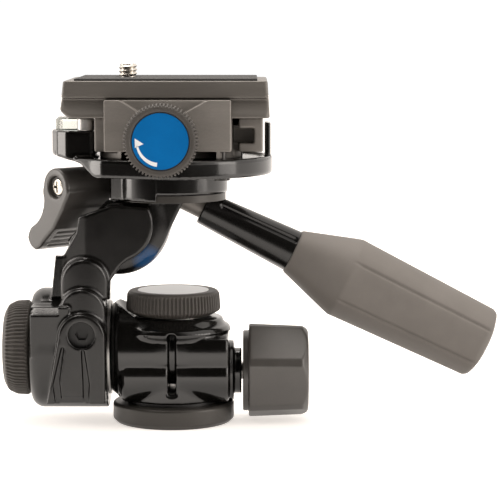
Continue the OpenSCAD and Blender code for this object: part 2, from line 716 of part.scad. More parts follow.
module platform() {
    color("#1c1b1b") difference() {
        union() {
            at_top_pan() rotate_extrude() polygon([[0, platform_z0], [platform_r - 0.8, platform_z0],
                [platform_r, platform_z0 + 0.8], [platform_r, platform_z1 - 0.6],
                [platform_r - 0.6, platform_z1], [0, platform_z1]]);
            at_top_pan() bar_z(clamp_ring_r, ring_top_z + 0.2, platform_z0 + eps);
            intersection() {
                at_top_pan() bar_z(clamp_ring_r + 0.5, ring_bottom_z + 0.3, platform_z0 + eps);
                box([-far, -far, 0], [skirt_right_x, 4, far]);
            }
            box([-20.8, -14, ring_bottom_z + 0.2], [-13.5, 6, platform_z0 + eps]);
            lever_ear();
            level_ear();
            at_top_pan() intersection() {
                difference() {
                    bar_z(platform_r - 0.4, platform_z1 - 1, tab_top_z);
                    bar_z(platform_r - 2.2, platform_z1 - 2, tab_top_z + 1);
                }
                box([20, -5, 0], [far, 5, far]);
            }
        }
        at_top_pan() difference() {
            bar_z(platform_r - 3.2, platform_z1 - 0.6, platform_z1 + 0.001);
            box([-far, -far, 0], [-25, far, far]);
        }
        at_top_pan() bar_z(scale_ring_r + 0.25, ring_bottom_z - 1, ring_top_z + 0.2);
        at_top_pan() bar_z(top_spindle_r + running_gap, ring_bottom_z, spindle_shoulder_z + 1);
        at_top_pan() bar_z(top_spindle_r + 3.6, spindle_shoulder_z, platform_z1 + 1);
        translate([-25.6, 0, platform_z0]) rotate([0, relief, 0]) box([-far, -far, -12], [0, far, 0]);
        along_lever() box([-21, lever_bottom - 1, 27.2], [7, platform_z0 - lever_z + 0.4, 28.6]);
        along_lever(lever_len) cylinder(r = lever_screw_r + running_gap, h = 17);
        along_lever(-1) cylinder(r = lever_hub_r + 0.5, h = lever_len + 1.6);
        translate([ear_x, 0, 0]) bar_z(ear_cup_r, ear_cup_z, ear_top_z + 1);
        at_clamp_screws() bar_z(1.5 + snug_gap, platform_z0 - 1, platform_z1 + 1);
    }
}

module level_seat() {
    color("#3b7a3a") translate([ear_x, 0, 0]) bar_z(ear_cup_r - 0.05, ear_cup_z + snug_gap, ear_cup_z + 1.4);
}

module level_vial() {
    color("#dfe6d6") translate([ear_x, 0, 0]) rotate_extrude() polygon([[0, ear_cup_z + 1.42],
        [ear_cup_r - 0.05, ear_cup_z + 1.42], [ear_cup_r - 0.05, plate_z0 - 1.2],
        [ear_cup_r - 1, plate_z0 - 0.4], [0, plate_z0 - 0.3]]);
}

module plate_stop_pin() {
    color("#8d8a86") translate([pin_x, pin_y, 0]) difference() {
        rotate_extrude() polygon([[0, ear_top_z], [pin_r, ear_top_z], [pin_r, plate_z0 - 0.8],
            [pin_r - 0.5, plate_z0 - 0.3], [0, plate_z0 - 0.3]]);
        translate([0, 0, ear_top_z + 3]) cylinder(r = 1.2, h = 3, $fn = 6);
    }
}

// ---- plate clamp ----
// The plate's dovetail flank runs from its foot, low and wide, to its neck, high and narrow.
function flank_y(z) =
    plate_half - dovetail_in * (z - plate_z0 - dovetail_foot) / (dovetail_h - dovetail_foot);

module clamp_base() {
    color("#201f1f") difference() {
        union() {
            slab_x(clamp_left_x, clamp_right_x) polygon([[clamp_front_y, clamp_z0],
                [clamp_rear_y, clamp_z0], [clamp_rear_y, jaw_z1], [flank_y(jaw_z1) + lip_gap, jaw_z1],
                [plate_half + lip_gap, plate_z0 + dovetail_foot],
                [plate_half + lip_gap, plate_z0 - slide_gap], [clamp_front_y, plate_z0 - slide_gap]]);
            at_top_pan() bar_z(clamp_pedestal_r, platform_z1 - 0.6, clamp_z0 + eps);
        }
        at_top_pan() bar_z(top_spindle_r + 4, platform_z1 - 2, platform_z1 + 1.5);
        box([pocket_left_x, clamp_front_y - 1, pocket_z0], [pocket_right_x, clamp_front_y + 9, pocket_z1]);
        box([pocket_left_x, clamp_front_y - 1, clamp_z0 - 1],
            [pocket_left_x + 2, clamp_front_y + 7, plate_z0 + 1]);
        at_clamp_knob() bar_y(clamp_screw_r + running_gap, clamp_front_y - 1, clamp_front_y + 14);
        for (x = guide_pin_xs) translate([x, 0, guide_pin_z])
            bar_y(guide_pin_r + snug_gap, clamp_front_y - 1, clamp_front_y + 9);
        at_clamp_screws() bar_z(1.5 + snug_gap, platform_z1 - 2, clamp_screw_top_z + 0.2);
        box([-18, -10, plate_z0 - 3], [24, 18, plate_z0 + 1]);
    }
}

module clamp_base_screws() {
    color("#6d6d6d") at_clamp_screws() {
        bar_z(1.5, platform_z0 - 0.1, clamp_screw_top_z);
        difference() {
            bar_z(2.7, platform_z0 - 1.5, platform_z0 - 0.02);
            translate([-3, -0.4, platform_z0 - 2]) cube([6, 0.8, 1.2]);
        }
    }
}

module jaw_guide_pins() {
    color("#a8a6a0") for (x = guide_pin_xs) translate([x, 0, guide_pin_z])
        bar_y(guide_pin_r, guide_pin_end_y, clamp_front_y + 8.9);
}

module front_jaw() {
    inner_y = clamp_front_y - 2.5;
    color("#2a2927") difference() {
        slab_x(jaw_left_x, jaw_right_x) polygon([[jaw_front_y, jaw_z0], [inner_y, jaw_z0],
            [inner_y, plate_z0 - slide_gap], [-plate_half - lip_gap, plate_z0 - slide_gap],
            [-plate_half - lip_gap, plate_z0 + dovetail_foot], [-flank_y(jaw_z1) - lip_gap, jaw_z1],
            [jaw_front_y, jaw_z1]]);
        slab_y(jaw_front_y - 1, jaw_front_y + 2.4) polygon([[clamp_knob_x - 14.6, jaw_z1 + eps],
            [clamp_knob_x - scoop_half, scoop_side_z], [clamp_knob_x, scoop_floor_z],
            [clamp_knob_x + scoop_half, scoop_side_z], [clamp_knob_x + 15.6, jaw_z1 + eps]]);
        at_clamp_knob() bar_y(8.4, jaw_front_y - 1, jaw_front_y + 2.4);
        at_clamp_knob() bar_y(clamp_screw_r + running_gap, jaw_front_y - 1, 0);
        for (x = guide_pin_xs) translate([x, 0, guide_pin_z])
            bar_y(guide_pin_r + running_gap, guide_pin_end_y - 0.6, 0);
    }
}

module clamp_screw() {
    color("#a8a6a0") at_clamp_knob() bar_y(clamp_screw_r, clamp_knob_front_y + 4, clamp_front_y + 12);
}

module clamp_knob() {
    knob_len = -platform_r - 0.7 - clamp_knob_front_y;
    hub_len = jaw_front_y + 2.4 - slide_gap - clamp_knob_front_y - knob_len;
    color("#2c2b2a") at_clamp_knob() translate([0, clamp_knob_front_y + knob_len, 0]) rotate([90, 0, 0])
        difference() {
            union() {
                ribbed_disc(clamp_knob_r, clamp_knob_teeth, rib_depth, knob_len, 1.2, knob_len - 1.2,
                    clamp_knob_r - 1.5, clamp_knob_r - 1.3);
                translate([0, 0, -hub_len]) cylinder(r = 6.4, h = hub_len + 1);
            }
            translate([0, 0, -hub_len - 1])
                cylinder(r = clamp_screw_r + snug_gap, h = hub_len + knob_len - 3 + snug_gap);
            translate([0, 0, knob_len - 1]) cylinder(r = clamp_knob_r - 2.3, h = 2);
        }
}

module clamp_knob_disc() {
    color("#1f6fb0") at_clamp_knob()
        bar_y(clamp_knob_r - 2.8, clamp_knob_front_y + 0.3, clamp_knob_front_y + 1 - snug_gap);
}

// ---- pan lever ----
// Outline of the lever seen along its axis: a hub, a blade that hollows on one side, and a round tip.
module lever_outline() {
    tip = [11.2, -18.2];
    tip_r = 3.6;
    circle(r = lever_hub_r);
    translate(tip) circle(r = tip_r);
    difference() {
        polygon([[-lever_hub_r + 0.2, -1.5], [-3.6, -7.4], [1.2, -14.4], [tip[0] - 2.9, tip[1] - 2.2],
            [tip[0], tip[1] - tip_r], [tip[0] + tip_r, tip[1]], [tip[0] + 2.2, -14], [lever_hub_r, -1]]);
        translate([16.8, -4.4]) circle(r = 10.4);
    }
}

module pan_lever() {
    color("#3a3938") along_lever() difference() {
        linear_extrude(lever_len) lever_outline();
        translate([0, 0, -1]) cylinder(r = lever_screw_r + snug_gap, h = lever_len + 2);
        translate([0, 0, -1]) cylinder(r = 3.6, h = 2.6);
        for (i = [0 : lever_grooves - 1]) translate([2.6 + 1.75 * i, -15.9 - 1.6 * i, 3])
            cylinder(r = 0.55, h = lever_len);
    }
}

module lever_clamp_screw() {
    color("#a8a6a0") along_lever(lever_screw_start) cylinder(r = lever_screw_r, h = lever_screw_len);
}

module lever_cap_screw() {
    color("#b5b4b1") along_lever() difference() {
        union() {
            translate([0, 0, 0.6]) cylinder(r = 2.9, h = 1);
            translate([0, 0, 1]) cylinder(r = lever_screw_r - 0.6, h = 3.3);
        }
        box([-1.9, -0.35, -1], [1.9, 0.35, 1.2]);
        box([-0.35, -1.9, -1], [0.35, 1.9, 1.2]);
    }
}

// ---- quick plate ----
module quick_plate() {
    corner = 2;
    neck = flank_y(plate_z1);
    color("#2a2a2a") difference() {
        intersection() {
            slab_x(plate_left_x, plate_right_x) polygon([[-plate_half, plate_z0], [plate_half, plate_z0],
                [plate_half, plate_z0 + dovetail_foot], [neck, plate_z1], [band_half, plate_z1 + 0.5],
                [band_half, plate_z2 - 0.5], [band_half - 0.5, plate_z2], [-band_half + 0.5, plate_z2],
                [-band_half, plate_z2 - 0.5], [-band_half, plate_z1 + 0.5], [-neck, plate_z1],
                [-plate_half, plate_z0 + dovetail_foot]]);
            union() {
                box([plate_left_x, -plate_half + corner, 0], [plate_right_x, plate_half - corner, far]);
                box([plate_left_x + corner, -plate_half, 0], [plate_right_x - corner, plate_half, far]);
                for (x = [plate_left_x + corner, plate_right_x - corner]) for (y = [-1, 1])
                    translate([x, y * (plate_half - corner), 0]) bar_z(corner, 0, far);
            }
        }
        camera_slot(camera_recess_r, plate_z0 - 1, camera_recess_z);
        camera_slot(camera_screw_r + 0.2, plate_z0, plate_z2 + 1);
    }
}

// The slot that the camera screw can be set along, round at both ends.
module camera_slot(r, z0, z1) {
    for (x = [camera_screw_x, camera_slot_x]) translate([x, 0, 0]) bar_z(r, z0, z1);
    box([camera_screw_x, -r, z0], [camera_slot_x, r, z1]);
}

module rubber_pad() {
    color("#2f2f2f") difference() {
        box([pad_left_x, -pad_half, plate_z2], [pad_right_x, pad_half, pad_z]);
        translate([camera_screw_x, 0, 0]) bar_z(camera_screw_r + 0.8, plate_z2 - 1, pad_z + 1);
    }
}

module camera_screw() {
    color("#c9c6be") translate([camera_screw_x, 0, 0]) difference() {
        union() {
            bar_z(camera_head_r, plate_z0 + 0.6, camera_head_z);
            bar_z(camera_neck_r, camera_head_z - 0.4, pad_z + 0.3);
            bar_z(camera_screw_r, pad_z + 0.2, pad_z + camera_screw_out);
        }
        box([-8, -0.7, plate_z0], [8, 0.7, plate_z0 + 2.2]);
        box([-8, -0.45, pad_z + camera_screw_out - 1.4], [8, 0.45, pad_z + camera_screw_out + 1]);
    }
}

module screw_retainer() {
    color("#8d8b88") translate([camera_screw_x, 0, 0]) difference() {
        bar_z(camera_screw_r + 1.9, camera_head_z, camera_recess_z - 0.1);
        bar_z(camera_neck_r + snug_gap, plate_z0, plate_z0 + 6);
    }
}

pan_base();
pan_spindle();
pan_washer();
pan_housing();
spindle_set_screws();
pan_brake_pad();
pan_lock_knob();
pan_lock_stud();
tilt_lock_washer();
tilt_brake_pad();
tilt_lock_knob();
tilt_lock_stud();
tilt_lock_inlay();
side_tilt_washer();
side_tilt_shaft();
bracket_arm();
port_screw();
drag_knob();
drag_stud();
drag_knob_cap();
tilt_body();
front_tilt_shaft();
front_tilt_washer();
front_tilt_nut();
scale_ring();
pan_retaining_plate();
retaining_screws();
handle_rod();
rod_stop_ring();
handle_sleeve();
handle_grip();
grip_plug();
platform();
level_vial();
level_seat();
plate_stop_pin();
clamp_base();
clamp_base_screws();
jaw_guide_pins();
front_jaw();
clamp_screw();
clamp_knob();
clamp_knob_disc();
pan_lever();
lever_clamp_screw();
lever_cap_screw();
quick_plate();
rubber_pad();
camera_screw();
screw_retainer();
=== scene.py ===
import json
import math
import bpy
import bmesh
import numpy as np
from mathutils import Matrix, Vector


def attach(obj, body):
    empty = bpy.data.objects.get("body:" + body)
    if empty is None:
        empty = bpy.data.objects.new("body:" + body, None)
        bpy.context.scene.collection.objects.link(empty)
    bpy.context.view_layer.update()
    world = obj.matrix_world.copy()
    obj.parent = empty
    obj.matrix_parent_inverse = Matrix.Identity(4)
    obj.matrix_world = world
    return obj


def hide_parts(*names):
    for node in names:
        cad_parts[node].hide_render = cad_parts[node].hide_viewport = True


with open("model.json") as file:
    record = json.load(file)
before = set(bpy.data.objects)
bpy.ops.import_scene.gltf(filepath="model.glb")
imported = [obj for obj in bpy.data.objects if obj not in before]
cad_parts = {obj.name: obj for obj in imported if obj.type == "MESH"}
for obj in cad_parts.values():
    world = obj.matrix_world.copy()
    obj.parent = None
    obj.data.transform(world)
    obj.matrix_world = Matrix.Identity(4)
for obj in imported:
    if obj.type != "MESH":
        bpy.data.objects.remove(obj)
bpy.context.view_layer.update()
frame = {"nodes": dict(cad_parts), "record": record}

nodes = frame["nodes"]
bodyOf = {n: b for b, ns in frame["record"]["behaviour"]["bodies"].items() for n in ns}
slotOf = {part["node"]: part["material_slot"] for part in frame["record"]["subparts"]}
print("frame loaded,", len(nodes), "nodes")

# the camera, the light and the floor
view = {"place": (0.0263, -0.714, 0.1384), "pitch": 83.64, "lens": 151.2, "sensor": 36.0}


def placed(name, data):
    thing = bpy.data.objects.new(name, data)
    bpy.context.scene.collection.objects.link(thing)
    return thing


def aimCamera():
    lens = bpy.data.cameras.new("camera")
    lens.lens, lens.sensor_width = view["lens"], view["sensor"]
    lens.clip_start, lens.clip_end = 0.05, 20
    camera = placed("camera", lens)
    camera.location = view["place"]
    camera.rotation_euler = (math.radians(view["pitch"]), 0, 0)
    bpy.context.scene.camera = camera
    bpy.context.scene.view_settings.view_transform = "Standard"


def addNode(tree, kind, **values):
    # a value is a property of the node or else an input, with _ for a space in its name
    node = tree.nodes.new(kind)
    for key, value in values.items():
        if hasattr(node, key):
            setattr(node, key, value)
        else:
            node.inputs[key.replace("_", " ")].default_value = value
    return node


studio = {"sky": 1.25, "front": 0.004, "darkWay": (-0.33, -0.83, 0.45), "darkIn": 0.80, "darkOut": 0.48, "soft": 0.95,
          "white": 1.05, "warm": (1.0, 0.94, 0.885, 1), "aim": (0, 0, 0.06)}
lamps = {"topLight": {"place": (-0.1, 0.15, 0.9), "size": (0.7, 0.4), "power": 6.5},
         "leftLight": {"place": (-0.85, 0.0, 0.25), "size": (0.3, 0.6), "power": 3.2},
         "rightLight": {"place": (0.85, -0.35, 0.3), "size": (0.4, 0.6), "power": 3.2}}
sheet = {"half": 3.0, "rough": 0.9, "tone": (0.86, 0.85, 0.84, 1), "lost": (0.004, 0.004, 0.004, 1), "hold": 0.3,
         "glow": 0.6, "mirrored": 0.85, "from": -0.40, "to": -0.26}


def hangLamp(name, place, size, power):
    lamp = bpy.data.lights.new(name, "AREA")
    lamp.shape, lamp.size, lamp.size_y = "RECTANGLE", size[0], size[1]
    lamp.energy, lamp.color = power, studio["warm"][:3]
    hung = placed(name, lamp)
    way = np.array(studio["aim"], float) - np.array(place, float)
    hung.location = place
    hung.rotation_euler = Vector(way).to_track_quat("-Z", "Y").to_euler()


def rangeOf(tree, source, low, high, start, end):
    node = addNode(tree, "ShaderNodeMapRange", interpolation_type="SMOOTHSTEP", From_Min=low, From_Max=high,
                   To_Min=start, To_Max=end)
    tree.links.new(source, node.inputs[0])
    return node.outputs[0]


def combine(tree, operation, a, b):
    node = addNode(tree, "ShaderNodeMath", operation=operation)
    for i, value in enumerate((a, b)):
        if isinstance(value, float):
            node.inputs[i].default_value = value
        else:
            tree.links.new(value, node.inputs[i])
    return node.outputs[0]


def times(tree, a, b):
    return combine(tree, "MULTIPLY", a, b)


def seenRays(tree, path):
    return combine(tree, "MAXIMUM", path.outputs["Is Camera Ray"], path.outputs["Is Transmission Ray"])


def lightStudio():
    # white to the camera, even to rough surfaces, and dark in front to glossy ones, as a room behind a camera is
    world = bpy.data.worlds.new("studio")
    bpy.context.scene.world = world
    world.use_nodes = True
    tree = world.node_tree
    tree.nodes.clear()
    join = tree.links.new
    where = addNode(tree, "ShaderNodeTexCoord")
    toward = addNode(tree, "ShaderNodeVectorMath", operation="DOT_PRODUCT")
    toward.inputs[1].default_value = studio["darkWay"]
    join(where.outputs["Generated"], toward.inputs[0])
    room = rangeOf(tree, toward.outputs["Value"], studio["darkOut"], studio["darkIn"], studio["sky"], studio["front"])
    path = addNode(tree, "ShaderNodeLightPath")
    glossy = path.outputs["Is Glossy Ray"]
    soft = times(tree, combine(tree, "SUBTRACT", 1.0, glossy), studio["soft"])
    shown = combine(tree, "ADD", times(tree, room, glossy), soft)
    back = addNode(tree, "ShaderNodeBackground", Color=studio["warm"])
    join(shown, back.inputs["Strength"])
    white = addNode(tree, "ShaderNodeBackground", Color=(1, 1, 1, 1), Strength=studio["white"])
    seen = seenRays(tree, path)
    mix = addNode(tree, "ShaderNodeMixShader")
    out = addNode(tree, "ShaderNodeOutputWorld")
    join(seen, mix.inputs[0])
    join(back.outputs[0], mix.inputs[1])
    join(white.outputs[0], mix.inputs[2])
    join(mix.outputs[0], out.inputs[0])
    for name, values in lamps.items():
        hangLamp(name, **values)


def layFloor():
    # the sheet is white to the camera everywhere, but in reflections it ends a hand's length before the object
    s = sheet
    h = s["half"]
    mesh = bpy.data.meshes.new("floor")
    mesh.from_pydata([(-h, -h, 0), (h, -h, 0), (h, h, 0), (-h, h, 0)], [], [(0, 1, 2, 3)])
    floor = placed("floor", mesh)
    material = bpy.data.materials.new("floorPale")
    material.use_nodes = True
    tree = material.node_tree
    join = tree.links.new
    shader = tree.nodes["Principled BSDF"]
    shader.inputs["Roughness"].default_value = s["rough"]
    where = addNode(tree, "ShaderNodeTexCoord")
    split = addNode(tree, "ShaderNodeSeparateXYZ")
    join(where.outputs["Object"], split.inputs[0])
    near = rangeOf(tree, split.outputs["Y"], s["from"], s["to"], 0.0, 1.0)
    path = addNode(tree, "ShaderNodeLightPath")
    glossy = path.outputs["Is Glossy Ray"]
    lost = times(tree, glossy, combine(tree, "SUBTRACT", 1.0, near))
    lost = combine(tree, "ADD", lost, times(tree, path.outputs["Is Diffuse Ray"], s["hold"]))
    tone = addNode(tree, "ShaderNodeMix", data_type="RGBA")
    join(lost, tone.inputs[0])
    tone.inputs[6].default_value = s["tone"]
    tone.inputs[7].default_value = s["lost"]
    join(tone.outputs[2], shader.inputs["Base Color"])
    seen = seenRays(tree, path)
    glow = combine(tree, "MAXIMUM", seen, times(tree, times(tree, glossy, near), s["mirrored"]))
    shader.inputs["Emission Color"].default_value = studio["warm"]
    join(times(tree, glow, s["glow"]), shader.inputs["Emission Strength"])
    mesh.materials.append(material)


# the finishes
def grainEffect():
    # fine grain and broad clouding: one noise for the grain, one ten times wider for the clouding
    group = bpy.data.node_groups.new("grain", "ShaderNodeTree")
    sockets = {"INPUT": {"Vector": "Vector", "Scale": "Float", "Cloud Scale": "Float", "Dark": "Color",
                         "Light": "Color", "Smooth": "Float", "Dull": "Float"},
               "OUTPUT": {"Color": "Color", "Roughness": "Float", "Height": "Float"}}
    for way, kinds in sockets.items():
        for name, kind in kinds.items():
            group.interface.new_socket(name=name, in_out=way, socket_type="NodeSocket" + kind)
    read = group.nodes.new("NodeGroupInput")
    give = group.nodes.new("NodeGroupOutput")
    fine = addNode(group, "ShaderNodeTexNoise", Detail=2.0, Roughness=0.55)
    cloud = addNode(group, "ShaderNodeTexNoise", Detail=4.0, Roughness=0.6)
    blend = addNode(group, "ShaderNodeMath", operation="MULTIPLY_ADD")
    blend.inputs[1].default_value = 0.35
    tone = addNode(group, "ShaderNodeMix", data_type="RGBA")
    rough = addNode(group, "ShaderNodeMapRange")
    join = group.links.new
    for noise, scale in ((fine, "Scale"), (cloud, "Cloud Scale")):
        join(read.outputs["Vector"], noise.inputs["Vector"])
        join(read.outputs[scale], noise.inputs["Scale"])
    join(fine.outputs["Fac"], blend.inputs[0])
    join(cloud.outputs["Fac"], blend.inputs[2])
    scaleDown = addNode(group, "ShaderNodeMapRange", From_Min=0.45, From_Max=0.9)
    join(blend.outputs[0], scaleDown.inputs[0])
    join(scaleDown.outputs[0], tone.inputs[0])
    join(read.outputs["Dark"], tone.inputs[6])
    join(read.outputs["Light"], tone.inputs[7])
    join(scaleDown.outputs[0], rough.inputs[0])
    join(read.outputs["Smooth"], rough.inputs["To Min"])
    join(read.outputs["Dull"], rough.inputs["To Max"])
    join(tone.outputs[2], give.inputs["Color"])
    join(rough.outputs[0], give.inputs["Roughness"])
    join(fine.outputs["Fac"], give.inputs["Height"])
    return group


grain = grainEffect()
looks = {}


def finish(name, dark, light, smooth, dull, metal=0.0, scale=3200, cloud=90, bump=0.3, depth=0.00003,
           stretch=(1, 1, 1), coat=0.0, specular=0.5, transmission=0.0, ior=1.5, band=None):
    # grained colour, roughness and bump; stretch pulls the grain out along an axis, as turning or brushing does
    material = bpy.data.materials.new(name)
    material.use_nodes = True
    tree = material.node_tree
    shader = tree.nodes["Principled BSDF"]
    where = addNode(tree, "ShaderNodeTexCoord")
    pull = addNode(tree, "ShaderNodeMapping", Scale=stretch)
    look = addNode(tree, "ShaderNodeGroup", node_tree=grain, Scale=scale, Cloud_Scale=cloud, Dark=(*dark, 1),
                   Light=(*light, 1), Smooth=smooth, Dull=dull)
    relief = addNode(tree, "ShaderNodeBump", Strength=bump, Distance=depth)
    join = tree.links.new
    join(where.outputs["Object"], pull.inputs[0])
    join(pull.outputs[0], look.inputs["Vector"])
    colour = look.outputs["Color"]
    if band:
        colour = addPaintedReflection(tree, where, colour, band)
    join(colour, shader.inputs["Base Color"])
    join(look.outputs["Roughness"], shader.inputs["Roughness"])
    join(look.outputs["Height"], relief.inputs["Height"])
    join(relief.outputs[0], shader.inputs["Normal"])
    for key, value in (("Metallic", metal), ("Coat Weight", coat), ("Coat Roughness", 0.08), ("IOR", ior),
                       ("Specular IOR Level", specular), ("Transmission Weight", transmission)):
        shader.inputs[key].default_value = value
    looks[name] = material


def addPaintedReflection(tree, where, colour, band):
    # a painted reflection: a soft-ended coloured patch round a point, by its distance from it
    join = tree.links.new
    away = addNode(tree, "ShaderNodeVectorMath", operation="DISTANCE")
    away.inputs[1].default_value = band["centre"]
    join(where.outputs["Object"], away.inputs[0])
    edge = rangeOf(tree, away.outputs["Value"], band["inner"], band["outer"], 1.0, 0.0)
    tint = addNode(tree, "ShaderNodeMix", data_type="RGBA")
    join(edge, tint.inputs[0])
    join(colour, tint.inputs[6])
    tint.inputs[7].default_value = (*band["colour"], 1)
    return tint.outputs[2]


finish("glossBlack", (0.003, 0.0028, 0.0025), (0.0045, 0.0042, 0.0038), 0.13, 0.19, scale=1500, bump=0.12,
       depth=0.00004, coat=0.3)
finish("satinBlack", (0.0035, 0.0033, 0.003), (0.0055, 0.005, 0.0045), 0.18, 0.27, scale=2600)
# tiltBlack's band is a painted soft blue reflection on the drum's rim
finish("tiltBlack", (0.0035, 0.0033, 0.003), (0.0055, 0.005, 0.0045), 0.18, 0.27, scale=2600, specular=0.42,
       band={"centre": (-0.0085, -0.0085, 0.0567), "inner": 0.0022, "outer": 0.0062,
             "colour": (0.0, 0.045, 0.14)})
finish("anodised", (0.17, 0.157, 0.143), (0.235, 0.218, 0.2), 0.4, 0.52, metal=0.3, scale=4200,
       stretch=(0.25, 1, 1))
finish("turned", (0.04, 0.037, 0.033), (0.055, 0.05, 0.045), 0.34, 0.44, metal=0.3, scale=4200, bump=0.35,
       stretch=(0.06, 0.06, 1))
finish("knobPlastic", (0.05, 0.045, 0.04), (0.07, 0.063, 0.057), 0.48, 0.6, scale=3600, bump=0.5, depth=0.00004,
       specular=0.42)
finish("hexPlastic", (0.045, 0.041, 0.037), (0.06, 0.055, 0.05), 0.32, 0.42, scale=3600, bump=0.4, specular=0.7)
finish("gripRubber", (0.14, 0.128, 0.116), (0.165, 0.151, 0.138), 0.55, 0.68, scale=4200, bump=0.5,
       depth=0.00004, specular=0.4)
finish("padRubber", (0.03, 0.03, 0.03), (0.045, 0.044, 0.043), 0.62, 0.8, scale=2600, bump=0.6, depth=0.00006,
       specular=0.35)
finish("leverPlastic", (0.04, 0.037, 0.034), (0.055, 0.05, 0.046), 0.32, 0.44, scale=3000, specular=0.7)
finish("inlayPale", (0.7, 0.71, 0.72), (0.74, 0.75, 0.76), 0.3, 0.34, scale=1200, bump=0.02)
finish("discBlue", (0.0001, 0.115, 0.345), (0.0002, 0.135, 0.4), 0.4, 0.5, scale=1800, bump=0.15, specular=0.08)
finish("arrowWhite", (0.78, 0.79, 0.8), (0.86, 0.87, 0.88), 0.35, 0.45, scale=1800, bump=0.1)
finish("brightSteel", (0.62, 0.58, 0.52), (0.78, 0.74, 0.68), 0.2, 0.34, metal=1.0, scale=4000, bump=0.25,
       stretch=(1, 1, 0.15))
finish("steel", (0.42, 0.41, 0.40), (0.56, 0.55, 0.53), 0.28, 0.42, metal=1.0, scale=4000, stretch=(0.15, 1, 1))
finish("darkSteel", (0.07, 0.068, 0.065), (0.12, 0.115, 0.11), 0.3, 0.42, metal=0.9)
finish("brass", (0.55, 0.40, 0.16), (0.68, 0.52, 0.22), 0.28, 0.4, metal=1.0)
# painted shade: the plug deep in the port is darkened to near black for the shade that fills the port
finish("nylon", (0.008, 0.008, 0.008), (0.014, 0.014, 0.013), 0.35, 0.5)
finish("plateAlu", (0.12, 0.111, 0.1), (0.16, 0.148, 0.134), 0.38, 0.5, metal=0.3, scale=4200, bump=0.35,
       stretch=(0.05, 1, 1))
finish("vialClear", (0.93, 0.96, 0.90), (0.97, 0.99, 0.94), 0.03, 0.08, scale=700, bump=0.03, transmission=0.85,
       ior=1.49)
finish("levelGreen", (0.10, 0.30, 0.06), (0.16, 0.42, 0.10), 0.2, 0.3, scale=900, bump=0.05)
slotLook = {"black_casting": "glossBlack", "matte_casting": "satinBlack", "dark_steel": "darkSteel",
            "knob_plastic": "knobPlastic", "grip_rubber": "gripRubber", "pad_rubber": "padRubber",
            "inlay_grey": "inlayPale", "disc_blue": "discBlue", "vial_glass": "vialClear",
            "level_green": "levelGreen", "lever_plastic": "leverPlastic", "plate_alu": "plateAlu",
            "screw_steel": "brightSteel"}
# the port plug takes the near-black finish that paints the port's shade
ownLook = {"scale_ring": "turned", "port_screw": "nylon"}
print("finishes made,", len(looks))


def dressNodes():
    # a slot that isn't listed above has a finish of its own name
    for name, piece in nodes.items():
        slot = slotOf[name]
        piece.data.materials.clear()
        piece.data.materials.append(looks[ownLook.get(name) or slotLook.get(slot, slot)])


# pieces from points and faces, in millimetres
def addPiece(name, points, faces, node, look, others=()):
    mesh = bpy.data.meshes.new(name)
    mesh.from_pydata((points * 0.001).tolist(), [], faces.tolist())
    work = bmesh.new()
    work.from_mesh(mesh)
    bmesh.ops.remove_doubles(work, verts=work.verts, dist=1e-7)
    bmesh.ops.dissolve_degenerate(work, edges=work.edges, dist=1e-8)
    work.to_mesh(mesh)
    work.free()
    mesh.shade_smooth()
    piece = placed(name, mesh)
    mesh.materials.append(looks[look])
    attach(piece, bodyOf[node])
    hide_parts(node, *others)
    print(name, len(mesh.polygons), "faces")
    return piece


# turned pieces: a profile of [radius, height] points swept round an axis
def soften(profile, radius):
    # every inner corner of the line becomes a short curve: start*(1-t)^2 + 2*corner*t*(1-t) + end*t^2
    line = np.array(profile, float)
    out = [line[0]]
    for before, corner, after in zip(line[:-2], line[1:-1], line[2:]):
        a, b = before - corner, after - corner
        la, lb = np.linalg.norm(a), np.linalg.norm(b)
        if abs(a[0] * b[1] - a[1] * b[0]) < 0.002 * la * lb:      # a straight run needs no curve
            out.append(corner)
            continue
        reach = min(radius, la * 0.38, lb * 0.38)
        start, end = corner + a / la * reach, corner + b / lb * reach
        t = np.linspace(0, 1, 5)[:, None]
        hold = min(0.12, reach * 0.25)
        out.append(start + a / la * hold)
        out.extend(start * (1 - t) ** 2 + 2 * corner * t * (1 - t) + end * t ** 2)
        out.append(end + b / lb * hold)
    out.append(line[-1])
    return np.array(out)


def axisFrame(way, side=None):
    way = np.array(way, float) / np.linalg.norm(way)
    helper = np.array(side if side is not None else ((0, 0, 1) if abs(way[2]) < 0.9 else (1, 0, 0)), float)
    across = helper - way * helper.dot(way)
    across /= np.linalg.norm(across)
    return across, np.cross(way, across), way


def turned(name, profile, origin, way, node, look, columns=144, radius=0.4, rim=None, side=None, others=()):
    # radius and height from the profile, turned by the angle; rim(angle, height, radius) adds to the radius
    line = soften(profile, radius)
    across, over, way = axisFrame(way, side)
    angle = np.linspace(0, 2 * np.pi, columns + 1)[None, :]
    r, h = line[:, :1] + 0 * angle, line[:, 1:] + 0 * angle
    if rim:
        r = r + rim(angle, h, r)
    points = (np.array(origin, float) + h[..., None] * way + (r * np.cos(angle))[..., None] * across
              + (r * np.sin(angle))[..., None] * over)
    return addPiece(name, points.reshape(-1, 3), gridFaces(*points.shape[:2]), node, look, others=others)


def gridFaces(rows, columns):
    i, j = np.meshgrid(np.arange(rows - 1), np.arange(columns - 1), indexing="ij")
    a = (i * columns + j).ravel()
    return np.stack([a, a + 1, a + columns + 1, a + columns], 1)


# cast and moulded pieces: a field of signed distances, joined and cut with round edges
def both(a, b, r=0.0):      # inside both, with an edge of radius r
    if r <= 0:
        return np.maximum(a, b)
    return np.minimum(np.maximum(a, b), -r) + np.hypot(np.maximum(a + r, 0), np.maximum(b + r, 0))


def either(a, b, r=0.0):    # inside one or the other, with a fillet of radius r
    return -both(-a, -b, r)


def without(a, b, r=0.0):
    return both(a, -b, r)


def within(q, lo, hi):
    return np.maximum(lo - q, q - hi)


def bar(p, axis, centre, r, lo, hi, edge=0.5):
    i, j = [(1, 2), (0, 2), (0, 1)][axis]
    return both(np.hypot(p[i] - centre[0], p[j] - centre[1]) - r, within(p[axis], lo, hi), edge)


